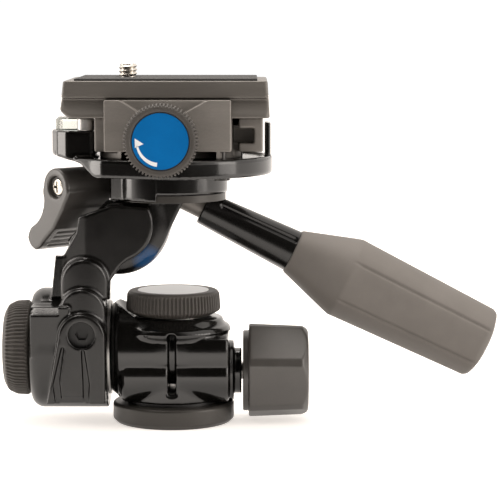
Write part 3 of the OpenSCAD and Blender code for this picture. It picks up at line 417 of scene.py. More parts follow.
def block(p, lo, hi, edge=0.5):
    sides = [within(q, a, b) for q, a, b in zip(p, lo, hi)]
    return both(both(sides[0], sides[1], edge), sides[2], edge)


def outline(u, v, corners):
    # distance to the nearest side of a closed line, negative inside it
    corners = np.array(corners, float)
    near, flip = 1e9, 1.0
    for (ax, ay), (bx, by) in zip(corners, np.roll(corners, -1, 0)):
        ex, ey, wx, wy = bx - ax, by - ay, u - ax, v - ay
        t = np.clip((wx * ex + wy * ey) / (ex * ex + ey * ey), 0, 1)
        near = np.minimum(near, (wx - t * ex) ** 2 + (wy - t * ey) ** 2)
        above, below, left = v >= ay, v < by, ex * wy > ey * wx
        flip = np.where((above & below & left) | (~above & ~below & ~left), -flip, flip)
    return flip * np.sqrt(near)


def tube(u, v, w, r, lo, hi):
    return both(np.hypot(u, v) - r, within(w, lo, hi))


def slab(shape, q, lo, hi, edge=0.5):
    return both(shape, within(q, lo, hi), edge)


def netSurface(field, lo, hi, step):
    # one point in each cell that the surface crosses, the mean of its crossings, then moved onto the surface
    axes = [np.arange(a - 2 * step, b + 2.5 * step, step) for a, b in zip(lo, hi)]
    value = np.broadcast_to(field(np.meshgrid(*axes, indexing="ij", sparse=True)), [len(a) for a in axes])
    value = np.ascontiguousarray(value, np.float32)
    inside = value < 0
    n = np.array(value.shape)
    part = lambda off: inside[tuple(slice(o, m - 1 + o) for o, m in zip(off, n))]
    corners = [(i, j, k) for i in (0, 1) for j in (0, 1) for k in (0, 1)]
    count = sum(part(c).astype(np.int8) for c in corners)
    active = (count > 0) & (count < 8)
    cells = np.argwhere(active)
    index = np.full(active.shape, -1, np.int64)
    index[active] = np.arange(len(cells))
    total, hits = np.zeros((len(cells), 3)), np.zeros(len(cells))
    unit = np.eye(3, dtype=int)
    for axis in range(3):
        for corner in corners:
            if corner[axis]:
                continue
            a = cells + np.array(corner)
            va, vb = value[tuple(a.T)], value[tuple((a + unit[axis]).T)]
            cross = (va < 0) != (vb < 0)
            t = va[cross] / (va[cross] - vb[cross])
            total[cross] += a[cross] + t[:, None] * unit[axis]
            hits += cross
    points = np.array([a[0] for a in axes]) + step * total / hits[:, None]
    faces = []
    for axis in range(3):
        j, k = (axis + 1) % 3, (axis + 2) % 3
        low = inside[tuple(slice(0, -1) if d == axis else slice(1, -1) for d in range(3))]
        high = inside[tuple(slice(1, None) if d == axis else slice(1, -1) for d in range(3))]
        for out, change in ((True, low & ~high), (False, ~low & high)):
            a = np.argwhere(change) + 1 - unit[axis]
            ring = [a, a - unit[j], a - unit[j] - unit[k], a - unit[k]]
            quad = np.stack([index[tuple(r.T)] for r in ring], 1)
            faces.append(quad if out else quad[:, ::-1])
    faces = np.vstack(faces)
    h = 0.02
    for _ in range(4):
        p = list(points.T)
        f = field(p)
        slope = np.stack([(field([q + h * (d == e) for e, q in enumerate(p)])
                           - field([q - h * (d == e) for e, q in enumerate(p)])) / (2 * h) for d in range(3)], 1)
        move = slope * (f / ((slope ** 2).sum(1) + 1e-4))[:, None]
        far = np.linalg.norm(move, axis=1)[:, None]
        points = points - move * np.minimum(1, 0.4 * step / np.maximum(far, 1e-9))
    return points, faces


def cast(name, field, lo, hi, step, node, look):
    points, faces = netSurface(field, lo, hi, step)
    return addPiece(name, points, faces, node, look)


def localOf(p, origin, across, over, way):
    d = [p[i] - origin[i] for i in range(3)]
    return [sum(d[i] * axis[i] for i in range(3)) for axis in (across, over, way)]


# the base: a disc with a wide recess under it
base = {"r": 20.8, "h": 7.0, "bore": 7.02, "recess": 17.8, "land": 11.0, "step": 0.6, "foot": 1.3, "rim": 0.7}


def makeBase():
    b = base
    r, h, bore, step, foot, rim = (b[key] for key in ("r", "h", "bore", "step", "foot", "rim"))
    turned("baseDisc", [[bore, 0], [b["land"], 0], [b["land"], step], [b["recess"], step], [b["recess"], 0],
                        [r - foot, 0], [r, foot], [r, h - rim], [r - rim, h], [bore, h], [bore, h * 0.5], [bore, 0]],
           (0, 0, 0), (0, 0, 1), "pan_base", "turned", radius=0.35)


# the housing: a barrel along X, a turret with a collar on top, a low bulge in front and a nose for the pan lock
housing = {"axisZ": 25.3, "r": 17.2, "left": -20.9, "right": 19.1, "bevel": (2.6, 2.4, 3.538), "seat": 36.0,
           "turretR": 16.8, "turretLean": 0.46, "shoulder": (6, 16.9, 30.4), "stemR": 17.0, "stemZ": (8, 16),
           "lockZ": 17.2, "bulge": (-7.8, 9.5), "bulgeLeft": -17.6, "nose": (10.4, 15, 20.8), "tip": (7.8, 15, 23.4),
           "grooveHalf": 1.35, "grooveFloor": 14.2, "grooveZ": (11.2, 32.4), "grooveY": -7,
           "spindleR": 8.05, "shaftR": 5.55, "studR": 3.05,
           "collar": [[-5, 22], [17.2, 22], [17.2, 29.6], [19.4, 30.8], [20.1, 32.0], [19.2, 33.4], [15.0, 36.0],
                      [-5, 36.0]]}


def housingField(p):
    s = housing
    x, y, z = p
    rr, turn = np.hypot(y, z - s["axisZ"]), np.hypot(x, y)
    run, rise, length = s["bevel"]
    slope = (-rise * (x - s["left"] - run) + run * (rr - s["r"])) / length
    f = both(rr - s["r"], x - s["right"], 1.2)
    f = both(both(f, s["left"] - x, 0.3), slope, 0.5)
    turret = (turn - s["turretR"] - s["turretLean"] * (z - s["seat"])) * 0.908
    f = without(f, both(s["seat"] - z, np.minimum(turret, -x), 0.6), 0.5)
    sx, sr, sz = s["shoulder"]
    f = without(f, both(sz - z, np.maximum(sr - turn, sx - x), 0.8), 0.8)
    f = either(f, both(turn - s["stemR"], within(z, *s["stemZ"]), 0.6), 1.6)
    by, br = s["bulge"]
    low = np.hypot(y - by, z - s["lockZ"]) - br
    f = either(f, both(both(low, x - s["right"], 1.0), s["bulgeLeft"] - x, 2.4), 0.5)
    f = either(f, outline(turn, z, s["collar"]) + 0.2, 1.3)
    f = either(f, bar(p, 0, (0, s["lockZ"]), *s["nose"], 0.6), 0.8)
    f = either(f, bar(p, 0, (0, s["lockZ"]), *s["tip"], 0.3), 0.5)
    hide = np.maximum(s["grooveY"] - y, s["axisZ"] - z)
    cut = both(both(np.abs(x) - s["grooveHalf"], s["grooveFloor"] - rr, 0.6), within(z, *s["grooveZ"]), 0.8)
    f = without(f, without(cut, hide), 0.9)
    for hole in (bar(p, 2, (0, 0), s["spindleR"], 0, 18.7, 0), bar(p, 0, (0, s["axisZ"]), s["shaftR"], -30, 5.3, 0),
                 bar(p, 0, (0, s["lockZ"]), s["studR"], 7, 30, 0),
                 bar(p, 2, (0, 0), s["studR"], s["axisZ"], 50, 0)):
        f = without(f, hole, 0.2)
    return f


# the bracket: a hub on the left, a flared boss with a port, two rounded steps of neck and a flat cheek with its pivot
arm = {"axisZ": 25.3, "r": 20.5, "left": -48.0, "right": -22.0, "front": -24.0, "bevel": 2.2,
       "lip": {"y": -20.45, "lean": 0.075, "level": 26.5, "edge": 0.9, "right": -34, "z": (25, 42), "back": -6},
       "slit": {"z": (39.4, 41.7), "depth": 10.4},
       "boss": {"x": -29.8, "z": 32.0, "half": 7.8, "flare": 11.8, "foot": 9.6, "back": -8},
       "steps": ({"x": -29.8, "z": 40.0, "half": 7.8, "foot": 30, "back": -5, "edge": 0.8, "in": 3.0, "sag": 26},
                 {"x": -29.2, "z": 49.6, "half": 7.9, "foot": 44, "back": -9.8, "edge": 0.6, "in": 5.8, "sag": 30}),
       "portZ": 32.8, "portR": 4.4, "portDepth": 9, "pivot": (-18.8, 68.9), "cheekR": 12.6, "cheekY": (-15.0, -9.8),
       "cheekHalf": 6.6, "tips": (20, -4), "creaseX": -28.6, "grooveDepth": 1.3,
       "grooves": ([[-36.5, 28.8], [-35.5, 28.6], [-37.1, 17.3], [-36.6, 12.2], [-36.6, 8], [-38.3, 8], [-39.5, 16]],
                   [[-29.9, 27.8], [-28.8, 27.8], [-27.2, 16.3], [-27.6, 8], [-29.3, 8], [-29.4, 16.9]]),
       "panel": {"left": -37.2, "right": -28.7, "z": 12.4, "lean": 0.9},
       "rib": {"side": [[-40.9, 43.5], [-30, 43.5], [-30, 58], [-39.3, 58]], "top": 58, "back": -8.5, "lean": 0.3},
       "shaftR": 5.52, "studR": 3.05, "pinR": 4.02}


def bracketField(p):
    s = arm
    x, y, z = p
    rr = np.hypot(y, z - s["axisZ"])
    hub = both(rr - s["r"], x - s["right"], 0.6)
    hub = both(hub, ((rr - s["r"]) + (s["left"] + s["bevel"] - x)) * 0.7071, 1.2)
    hub = both(hub, s["left"] - x, 0.6)
    c = s["lip"]
    lip = both((c["y"] - c["lean"] * (z - c["level"]) - y) * 0.997,
               np.maximum(s["left"] + c["edge"] - x, x - c["right"]), 0.6)
    hub = either(hub, both(lip, np.maximum(within(z, *c["z"]), y - c["back"]), 0.4), 0.8)
    low, high = s["slit"]["z"]
    hub = without(hub, block(p, (s["left"] - 3, -30, low), (s["left"] + s["slit"]["depth"], 30, high), 0.3), 0.35)
    b = s["boss"]
    bx, half = b["x"], b["half"]
    boss = either(np.hypot(x - bx, z - b["z"]) - half,
                  outline(x, z, [[bx - b["flare"], b["foot"]], [bx + half, b["foot"]], [bx + half, b["z"]],
                                 [bx - half, b["z"]]]))
    f = either(hub, slab(boss, y, s["front"], b["back"], 0.9), 1.2)
    for c in s["steps"]:
        step = np.maximum(np.abs(x - c["x"]) - c["half"], within(z, c["foot"], c["z"]))
        step = either(np.hypot(x - c["x"], z - c["z"]) - c["half"], step)
        swell = s["front"] + c["in"] + (x - c["x"]) ** 2 / c["sag"] - y
        f = either(f, both(both(step, y - c["back"], c["edge"]), swell, 1.0), 1.0)
    cx, cz = s["pivot"]
    neck = outline(x, z, [[-36.6, 44], [-21, 44], [-20.6, 50], [cx + 3, cz - s["cheekR"] + 0.4], [cx, cz + 6],
                          [-26.5, 76], [-31, 68], [-36.6, 58]])
    cheek = either(np.hypot(x - cx, z - cz) - s["cheekR"], neck, 1.5)
    for tip in s["tips"]:
        a = math.radians(tip)
        cheek = both(cheek, -(x - cx) * math.sin(a) + (z - cz) * math.cos(a) - s["cheekHalf"], 0.4)
    turnBack = (s["cheekY"][0] - y - 0.5 * (x - s["creaseX"])) * 0.894
    f = either(f, both(slab(cheek, y, *s["cheekY"], 0.9), turnBack, 0.25), 1.2)
    c = s["rib"]
    rib = slab(outline(x, z, c["side"]), y, -11, -1, 0.6)
    f = either(f, both(rib, y - c["back"] - c["lean"] * (c["top"] - z), 0.5), 0.8)
    f = without(f, bar(p, 1, (bx, s["portZ"]), s["portR"], s["front"] - 3, s["front"] + s["portDepth"], 0), 0.35)
    deep = y - s["front"] - s["grooveDepth"]
    for groove in s["grooves"]:
        f = without(f, both(outline(x, z, groove), deep, 0.4), 0.5)
    c = s["panel"]
    foot = (y - s["front"] - c["lean"] * (c["z"] - z)) * 0.743
    f = without(f, both(foot, within(x, c["left"], c["right"]), 0.2), 0.25)
    for hole in (bar(p, 0, (0, s["axisZ"]), s["shaftR"], s["left"] + 10, -20, 0),
                 bar(p, 0, (0, s["axisZ"]), s["studR"], -60, -36, 0),
                 bar(p, 1, (cx, cz), s["pinR"], s["cheekY"][0] + 2, 0, 0)):
        f = without(f, hole, 0.2)
    return f


def makeCastings():
    cast("housingCasting", housingField, (-21, -20, 8), (23.5, 20, 43), 0.5, "pan_housing", "glossBlack")
    cast("armCasting", bracketField, (-48, -24.2, 4.6), (-6, 20.6, 76.5), 0.46, "bracket_arm", "satinBlack")
    cast("tiltCasting", tiltField, (-37, -9, 50), (15, 13.2, 90.2), 0.5, "tilt_body", "tiltBlack")
    cast("platformCasting", platformField, (-53, -36, 76), (35, 36, 103), 0.6, "platform", "glossBlack")
    cast("leverBlade", leverField, (-52, -32, 58), (-18, 12, 88), 0.45, "pan_lever", "leverPlastic")


# the tilt body: a drum behind the cheek, a block for the handle, a flange and the pan spindle
tilt = {"pivot": (-18.8, 68.9), "drumR": 18.0, "edge": 5.0, "front": -9.0, "rear": -1.0, "blockRear": 13.0,
        "top": 76.4, "shave": 7.6, "flangeR": 15.1, "flangeTop": 78.8, "spindleR": 12.0, "spindleTop": 90.1,
        "panX": -0.7, "slope": 26.2, "handle": (4.0, 6.0, 76.0), "mouthR": 6.3, "rodR": 3.95, "rodDepth": -9.2,
        "shaftR": 4.05, "nutR": 5.4, "screwR": 1.52, "screwRing": 8, "screwFoot": 84.1}


def handleFrame():
    a = math.radians(tilt["slope"])
    way = np.array([math.cos(a), 0, -math.sin(a)])
    return np.array([math.sin(a), 0, math.cos(a)]), np.array([0.0, -1.0, 0.0]), way


def tiltField(p):
    s = tilt
    x, y, z = p
    cx, cz = s["pivot"]
    drum = both(np.hypot(x - cx, z - cz) - s["drumR"], s["front"] - y, s["edge"])
    drum = both(drum, y - s["rear"], 0.6)
    drum = both(drum, z - s["top"], 0.4)
    away = -(x - cx) * 0.7071 + (z - cz) * 0.7071 - s["shave"]
    drum = both(drum, away, 0.6)
    side = outline(x, z, [[cx + 7, cz - 12], [-6, cz - 11], [-2.7, 62.6], [4, s["top"]], [cx + 7, s["top"]]])
    f = either(drum, slab(side, y, s["front"] + 1, s["blockRear"], 0.7), 1.2)
    f = both(f, z - s["top"], 0.3)
    f = np.minimum(f, bar(p, 2, (s["panX"], 0), s["flangeR"], s["top"] - 0.5, s["flangeTop"], 0.2))
    f = np.minimum(f, bar(p, 2, (s["panX"], 0), s["spindleR"], s["top"] - 0.5, s["spindleTop"], 0.4))
    u, v, w = localOf(p, s["handle"], *handleFrame())
    f = without(f, tube(u, v, w, s["mouthR"], 0.02, 30), 0.3)
    f = without(f, tube(u, v, w, s["rodR"], s["rodDepth"], 30), 0.25)
    f = without(f, bar(p, 1, (cx, cz), s["shaftR"], -12, 20, 0), 0.2)
    f = without(f, bar(p, 1, (cx, cz), s["nutR"], s["rear"] - 1, 20, 0), 0.3)
    for a in (45, 135, 225, 315):
        hx = s["panX"] + s["screwRing"] * math.cos(math.radians(a))
        hy = s["screwRing"] * math.sin(math.radians(a))
        f = without(f, bar(p, 2, (hx, hy), s["screwR"], s["screwFoot"], 95, 0), 0)
    return f


# the platform: a round plate, its skirt round the scale ring, the level's ear and the lever's split ear
top = {"x": -0.7, "r": 34.5, "z": (85.4, 91.5), "facet": (0.375, 0.927, 33.0), "shelf": (31.3, 90.9, -25),
       "ringR": 19.4, "ringZ": 79.0, "skirtR": 19.9, "skirtZ": 76.7, "skirtEnd": (-4.9, 4),
       "splitLo": (-20.8, -15, 76.6), "splitHi": (-13.2, 6, 85.9), "lever": (-39.4, -8.4, 81.0),
       "leverEar": {"u": (-8, 5.4), "v": (-4.5, 4.41), "w": (21.2, 36)}, "gap": (27.2, 28.6), "screwR": 2.55,
       "hubRoom": 6.9, "earX": -33.3, "earR": 7.65, "earTop": 100.2, "pin": (-28.8, -9.4), "round": 2.0,
       "ear": [[-27.6, -10.8], [-27.6, 5.2], [-33.3, 5.6], [-37.6, 3.6], [-38.9, 0], [-38.6, -3.4], [-36.8, -8.2],
               [-34.2, -10.8]], "webLo": (-39.4, -7, 87.9), "webHi": (-26, 5, 92.5), "fin": (20, 5, 102.6),
       "turnR": (18.95, 12.05, 15.6)}


def leverSpace(p):
    # across the lever's screw, up, and along the screw
    q = math.sqrt(0.5)
    return localOf(p, top["lever"], (-q, q, 0), (0, 0, 1.0), (q, q, 0))


def platformField(p):
    s = top
    x, y, z = p
    low, high = s["z"]
    turn = np.hypot(x - s["x"], y)
    fx, fy, fr = s["facet"]
    f = both(np.maximum(turn - s["r"], -(x - s["x"]) * fx - y * fy - fr), within(z, low, high), 0.7)
    sr, sz, sx = s["shelf"]
    f = without(f, both(both(turn - sr, sz - z, 0.2), sx - x, 0.2), 0.15)
    f = either(f, both(turn - s["ringR"], within(z, s["ringZ"], low + 1), 0.4), 0.5)
    ex, ey = s["skirtEnd"]
    skirt = both(both(turn - s["skirtR"], within(z, s["skirtZ"], low + 1), 0.3), np.maximum(x - ex, y - ey), 0.3)
    f = either(f, skirt, 0.2)
    slant = -0.573 * (x + 13.0) - 0.819 * (y + 14.6)
    f = either(f, both(block(p, s["splitLo"], s["splitHi"], 0.3), slant, 0.2), 0.2)
    u, v, w = leverSpace(p)
    c = s["leverEar"]
    f = either(f, both(both(within(u, *c["u"]), within(v, *c["v"]), 0.5), within(w, *c["w"]), 0.5), 0.6)
    f = either(f, block(p, s["webLo"], s["webHi"], 0.4), 0.5)
    f = either(f, slab(outline(x, y, s["ear"]) - s["round"], z, high - 3.5, s["earTop"], 0.7), 1.0)
    start, half, tall = s["fin"]
    fin = both(both(turn - s["r"] + 0.4, s["r"] - 2.2 - turn, 0.4), np.maximum(start - x, np.abs(y) - half), 0.4)
    f = either(f, both(fin, within(z, high - 1, tall), 0.4), 0.5)
    for r, z0, z1 in zip(s["turnR"], (70, 70, 90.1), (s["ringZ"], 95, 95)):
        f = without(f, bar(p, 2, (s["x"], 0), r, z0, z1, 0), 0.15)
    steep = (z - 85.0) * 0.76 + (x + 24.6) * 0.65        # below both lines: one rises at 40 degrees, one at 12
    gentle = (z - 89.6) * 0.976 + (x + 30) * 0.216
    f = without(f, both(both(steep, gentle, 0), 84.4 - z, 0), 0.5)
    split = both(np.maximum(within(u, -21, 7), within(v, -6, 4.8)), within(w, *s["gap"]), 0)
    f = without(f, split, 0.15)
    f = without(f, tube(u, v, w, s["screwR"], 20.5, 37.5), 0)
    f = without(f, tube(u, v, w, s["hubRoom"], -1, 21.1), 0.2)
    return without(f, bar(p, 2, (s["earX"], 0), s["earR"] - 1.2, s["earTop"] - 2.6, 110, 0), 0.3)


# the pan lever: a hub and a hanging blade, drawn in the plane across its screw
lever = {"length": 20.5, "hub": 6.4, "tip": (11.2, -18.2), "tipR": 3.6, "waist": (16.8, -4.4, 10.4), "grooves": 4,
         "grooveAt": (2.6, -15.9), "groovePitch": (1.75, -1.6), "grooveR": 0.6, "sinkR": 3.8, "sink": 1.9,
         "boreR": 2.52}


def leverField(p):
    s = lever
    u, v, w = leverSpace(p)
    tx, ty = s["tip"]
    blade = outline(u, v, [[-6.2, -1.5], [-3.6, -7.4], [1.2, -14.4], [tx - 2.9, ty - 2.2], [tx, ty - 3.6],
                           [tx + 3.6, ty], [tx + 2.2, -14], [6.4, -1]])
    wu, wv, wr = s["waist"]
    blade = without(blade, np.hypot(u - wu, v - wv) - wr, 1.0)
    shape = either(either(np.hypot(u, v) - s["hub"], blade, 1.5), np.hypot(u - tx, v - ty) - s["tipR"], 1.0)
    f = slab(shape, w, 0, s["length"], 0.9)
    for i in range(s["grooves"]):
        gu, gv = (at + pitch * i for at, pitch in zip(s["grooveAt"], s["groovePitch"]))
        f = without(f, both(np.hypot(u - gu, v - gv) - s["grooveR"], 3 - w, 0.3), 0.3)
    f = without(f, both(np.hypot(u, v) - s["sinkR"], w - s["sink"], 0.1), 0.3)
    return without(f, np.hypot(u, v) - s["boreR"], 0)


# the three knobs with a ribbed rim, and what is let into them
knobs = {"tilt": {"r": 16.2, "h": 8.5, "z": 36.7, "ribs": 74, "depth": 0.7, "well": 4.0},
         "drag": {"r": 16.3, "h": 9.2, "x": -48.4, "ribs": 74, "depth": 0.7, "well": 6.0},
         "clamp": {"r": 12.15, "h": 8.8, "y": -35.2, "x": -2.4, "z": 98.5, "ribs": 62, "depth": 0.75, "well": 2.8},
         "boreR": 3.02}


def ribbedRim(ribs, depth, low, high, fade=0.8, inner=8.0):
    # a rib is a flat-topped wave of the angle, faded out beyond its two heights and inside a radius
    def rim(angle, h, r):
        wave = np.clip(0.5 + 0.95 * np.cos(ribs * angle), 0, 1)
        hold = np.clip((h - low) / fade, 0, 1) * np.clip((high - h) / fade, 0, 1) * np.clip((r - inner) / 0.8, 0, 1)
        return -depth * (1 - wave) * hold
    return rim


def makeKnobs():
    k, bore = knobs["tilt"], knobs["boreR"]
    r, h, well = k["r"], k["h"], k["r"] - k["well"]
    stand = (0, 0, k["z"]), (0, 0, 1)
    turned("tiltKnob", [[bore, 0], [r - 3.2, 0], [r - 0.2, 1.7], [r, 2.6], [r - 0.4, h - 1.1], [r - 1.3, h],
                        [well, h], [well, h - 0.8], [bore, h - 0.8], [bore, 0]],
           *stand, "tilt_lock_knob", "knobPlastic", k["ribs"] * 10, 0.5,
           ribbedRim(k["ribs"], k["depth"], 0.5, h - 0.7))
    turned("tiltInlay", [[0, h - 0.78], [well - 0.06, h - 0.78], [well - 0.06, h + 0.1], [0, h + 0.22]],
           *stand, "tilt_lock_inlay", "inlayPale", 96, 0.15)
    k = knobs["drag"]
    r, h, well = k["r"], k["h"], k["r"] - k["well"]
    stand = (k["x"], 0, arm["axisZ"]), (-1, 0, 0)
    turned("dragKnob", [[bore, 0], [r - 1.2, 0], [r, 1.2], [r - 0.2, h * 0.55], [r - 1.5, h - 1.4], [r - 4.0, h],
                        [well, h], [well, h - 0.8], [bore, h - 0.8], [bore, 0]],
           *stand, "drag_knob", "knobPlastic", k["ribs"] * 10, 0.6,
           ribbedRim(k["ribs"], k["depth"], 0.6, h - 1.2))
    turned("dragCap", [[0, h - 0.78], [well - 0.06, h - 0.78], [well - 0.06, h - 0.02], [0, h]],
           *stand, "drag_knob_cap", "knobPlastic", 72, 0.15)
    k = knobs["clamp"]
    r, h, well = k["r"], k["h"], k["r"] - k["well"]
    stand = (k["x"], k["y"], k["z"]), (0, -1, 0)
    turned("clampKnob", [[bore, -6.4], [6.4, -6.4], [6.4, 0], [r - 1.6, 0], [r - 0.1, 0.9], [r, h - 1.5],
                         [r - 0.7, h - 0.3], [r - 1.5, h], [r - 2.4, h - 0.1], [well + 0.05, h - 0.55],
                         [well, h - 1.0], [bore, h - 1.0], [bore, -6.4]],
           *stand, "clamp_knob", "knobPlastic", k["ribs"] * 12, 0.25,
           ribbedRim(k["ribs"], k["depth"], 0.2, h - 0.1, 0.4, 10.9))
    turned("clampDisc", [[0, h - 0.98], [well - 0.25, h - 0.98], [well - 0.25, h - 0.42], [0, h - 0.34]],
           *stand, "clamp_knob_disc", "discBlue", 96, 0.15)


# the six-sided pan lock knob
hexKnob = {"x": 23.9, "length": 22.4, "r": 16.7, "corner": 0.75, "narrows": 0.9, "turn": 12.0, "coneSlope": 0.045,
           "flange": (13.8, 4), "chamfer": 2.9, "stud": 3.02}


def hexField(p):
    # six sloping sides with soft corners, trimmed by a cone whose narrow flats show at the corners
    s = hexKnob
    x, y, z = p[0] - s["x"], p[1], p[2] - housing["lockZ"]
    rr = np.hypot(y, z)
    reach = s["r"] + s["corner"] - s["narrows"] * np.clip((x - 2) / (s["length"] - 2), 0, 1)
    for i in range(6):
        a = math.radians(s["turn"] + 30 + 60 * i)
        side = -z * math.cos(a) + y * math.sin(a) - reach * math.cos(math.radians(30))
        flat = side if i == 0 else both(flat, side, 0.15)
    f = both(flat, rr - (s["r"] - s["coneSlope"] * np.clip(x - 3.2, 0, 20)), 0.15)
    f = both(f, (rr - (s["r"] - s["chamfer"]) + (x - s["length"])) * 0.7071, 0.3)
    f = both(f, within(x, 2, s["length"]), 0.6)
    r, end = s["flange"]
    f = either(f, both(rr - r, within(x, 0, end), 0.5), 0.3)
    return without(f, both(rr - s["stud"], x - s["length"] + 5, 0), 0.1)


# the handle: a tapered sleeve and a rubber grip, both turned on the rod
handle = {"start": 7.0, "r0": 5.7, "r1": 7.3, "gripStart": 41.2, "knee": 61.6, "end": 112.9, "g0": 7.9, "g1": 14.3,
          "g2": 12.6, "rod": 3.95, "lip": 10.2, "stop": 4.85, "plug": 6.72,
          "slotTurn": 52, "slotMiddle": 26.5, "slotHalf": 13.5, "slotWide": 1.05, "slotDepth": 1.4,
          "flatDepth": 0.45, "lineDepth": 0.6, "lineWide": 0.5}


def makeHandle():
    s = handle
    start, grip, knee, end, rod = (s[key] for key in ("start", "gripStart", "knee", "end", "rod"))
    across, over, way = handleFrame()
    origin = tilt["handle"]

    def slot(angle, h, r):
        # a long slot on the upper front side: as deep as the distance inside a line with round ends allows
        off = ((angle - math.radians(s["slotTurn"])) + np.pi) % (2 * np.pi) - np.pi
        u, v = off * 6.4, np.clip(np.abs(h - s["slotMiddle"]) - s["slotHalf"], 0, None)
        depth = np.clip((s["slotWide"] - np.hypot(u, v)) / 0.3, 0, 1)
        return -depth * s["slotDepth"] * (r > 5.2)

    taper = [[s["r0"] + (s["r1"] - s["r0"]) * t, start + 0.4 + (grip - start - 0.4) * t]
             for t in np.linspace(0.02, 1, 60)]
    turned("handleSleeve", [[rod, start], [s["r0"] - 0.3, start], [s["r0"], start + 0.4]] + taper
           + [[s["stop"], grip], [s["stop"], start + s["lip"]], [rod, start + s["lip"]], [rod, start]],
           origin, way, "handle_sleeve", "satinBlack", 168, 0.25, slot, side=across)

    def flats(angle, h, r):
        # six soft flats: the radius falls between the corners, with a narrow groove at each corner
        wave = ((angle / (2 * np.pi) * 6 + 0.5) % 1 - 0.5) * 2 * np.pi / 6
        flat = -s["flatDepth"] * (1 + np.cos(6 * (angle - np.pi / 6))) / 2
        rise = np.clip((h - knee + 9) / 14, 0, 1)
        groove = s["lineDepth"] * np.exp(-(wave * r / s["lineWide"]) ** 2)
        on = np.clip((h - knee + 1.0) / 4.0, 0, 1) * np.clip((end + 1.2 - h) / 1.5, 0, 1)
        return (flat * rise - groove * on) * np.clip((r - 8) / 2, 0, 1)

    body = [[s["g1"] - 0.1 + (s["g2"] - s["g1"] + 0.1) * t, knee + 1.8 + (end - knee - 1.8) * t]
            for t in np.linspace(0, 1, 32)]
    turned("handleGrip", [[s["plug"], grip + 1.5], [s["plug"], grip], [s["g0"] - 0.4, grip], [s["g0"], grip + 0.5],
                          [s["g1"] - 0.55, knee - 1.9], [s["g1"], knee]]
           + body + [[s["g2"] - 0.9, end + 1.4], [s["g2"] - 3.8, end + 2.3], [0, end + 2.7]],
           origin, way, "handle_grip", "gripRubber", 288, 0.8, flats, side=across, others=("grip_plug",))


# the plate clamp: a dovetail whose rear flank is fixed and whose front flank is the jaw
clamp = {"half": 25.0, "z0": 105.0, "foot": 0.8, "rise": 5.4, "inward": 3.5, "jawTop": 111.0, "gap": 0.12,
         "x": (-25.4, 30.6), "front": -17, "low": 93.5, "seatR": 24, "seatZ": (90.9, 94.0), "wellR": 16,
         "screw": (-2.4, 98.5), "screwR": 3.05, "pinX": (-14.4, 9.6), "pinZ": 99, "pinR": 2.02,
         "cuts": (((20.6, -19, 96.3), (27.7, -8, 101.4), 0.4, 0.4), ((20.4, -19, 92), (22.6, -10, 107), 0.2, 0.4),
                  ((-18, -10, 102), (24, 18, 107), 0.5, 0.3))}
jaw = {"x": (-21.5, 20.1), "front": -28, "back": -19.5, "low": 94.2, "high": 104.85, "face": -25.6, "dish": 8.4,
       "pinR": 2.05, "scoop": [[-14.6, 111.5], [-7, 106.8], [0, 104.6], [7, 106.8], [15.6, 111.5]]}


def flankY(z):
    return clamp["half"] - clamp["inward"] * (z - clamp["z0"] - clamp["foot"]) / clamp["rise"]


def clampBaseField(p):
    s = clamp
    x, y, z = p
    rear, g, front, floor = s["half"] + 3, s["gap"], s["front"], s["z0"] - 0.15
    side = outline(y, z, [[front, s["low"]], [rear, s["low"]], [rear, s["jawTop"]],
                          [flankY(s["jawTop"]) + g, s["jawTop"]], [s["half"] + g, s["z0"] + s["foot"]],
                          [s["half"] + g, floor], [front, floor]])
    f = slab(side, x, *s["x"], 0.5)
    f = either(f, bar(p, 2, (top["x"], 0), s["seatR"], *s["seatZ"], 0.3), 0.3)
    f = without(f, bar(p, 2, (top["x"], 0), s["wellR"], 80, 93.0, 0), 0.2)
    for lo, hi, edge, blend in s["cuts"]:
        f = without(f, block(p, lo, hi, edge), blend)
    f = without(f, bar(p, 1, s["screw"], s["screwR"], -18, -3, 0), 0.15)
    for px in s["pinX"]:
        f = without(f, bar(p, 1, (px, s["pinZ"]), s["pinR"], -18, -8, 0), 0.1)
    return f


def jawField(p):
    s, j = clamp, jaw
    x, y, z = p
    g, middle = s["gap"], s["screw"][0]
    side = outline(y, z, [[j["front"], j["low"]], [j["back"], j["low"]], [j["back"], j["high"]],
                          [-s["half"] - g, j["high"]], [-s["half"] - g, s["z0"] + s["foot"]],
                          [-flankY(s["jawTop"]) - g, s["jawTop"]], [j["front"], s["jawTop"]]])
    f = slab(side, x, *j["x"], 0.35)
    scoop = outline(x, z, [[middle + sx, sz] for sx, sz in j["scoop"]])
    f = without(f, both(scoop, y - j["face"], 0), 0.5)
    f = without(f, bar(p, 1, s["screw"], j["dish"], -30, j["face"], 0), 0.3)
    f = without(f, bar(p, 1, s["screw"], s["screwR"], -30, 0, 0), 0.1)
    for px in s["pinX"]:
        f = without(f, bar(p, 1, (px, s["pinZ"]), j["pinR"], j["face"], 0, 0), 0.1)
    return f


# the quick-release plate, its pad and the camera screw
plate = {"left": -36.1, "right": 32.6, "lean": (0.11, 0.06), "band": 6.0, "dovetail": 6.2, "corner": 2.0,
         "bandHalf": 24.2, "screwX": -15.0, "slotEnd": 12.0, "slotR": 3.4, "headR": 8,
         "padLo": (-31.6, -22.3, 117.2), "padHi": (28.7, 22.3, 118.0), "ridge": 1.6, "ridgeHigh": 0.05}


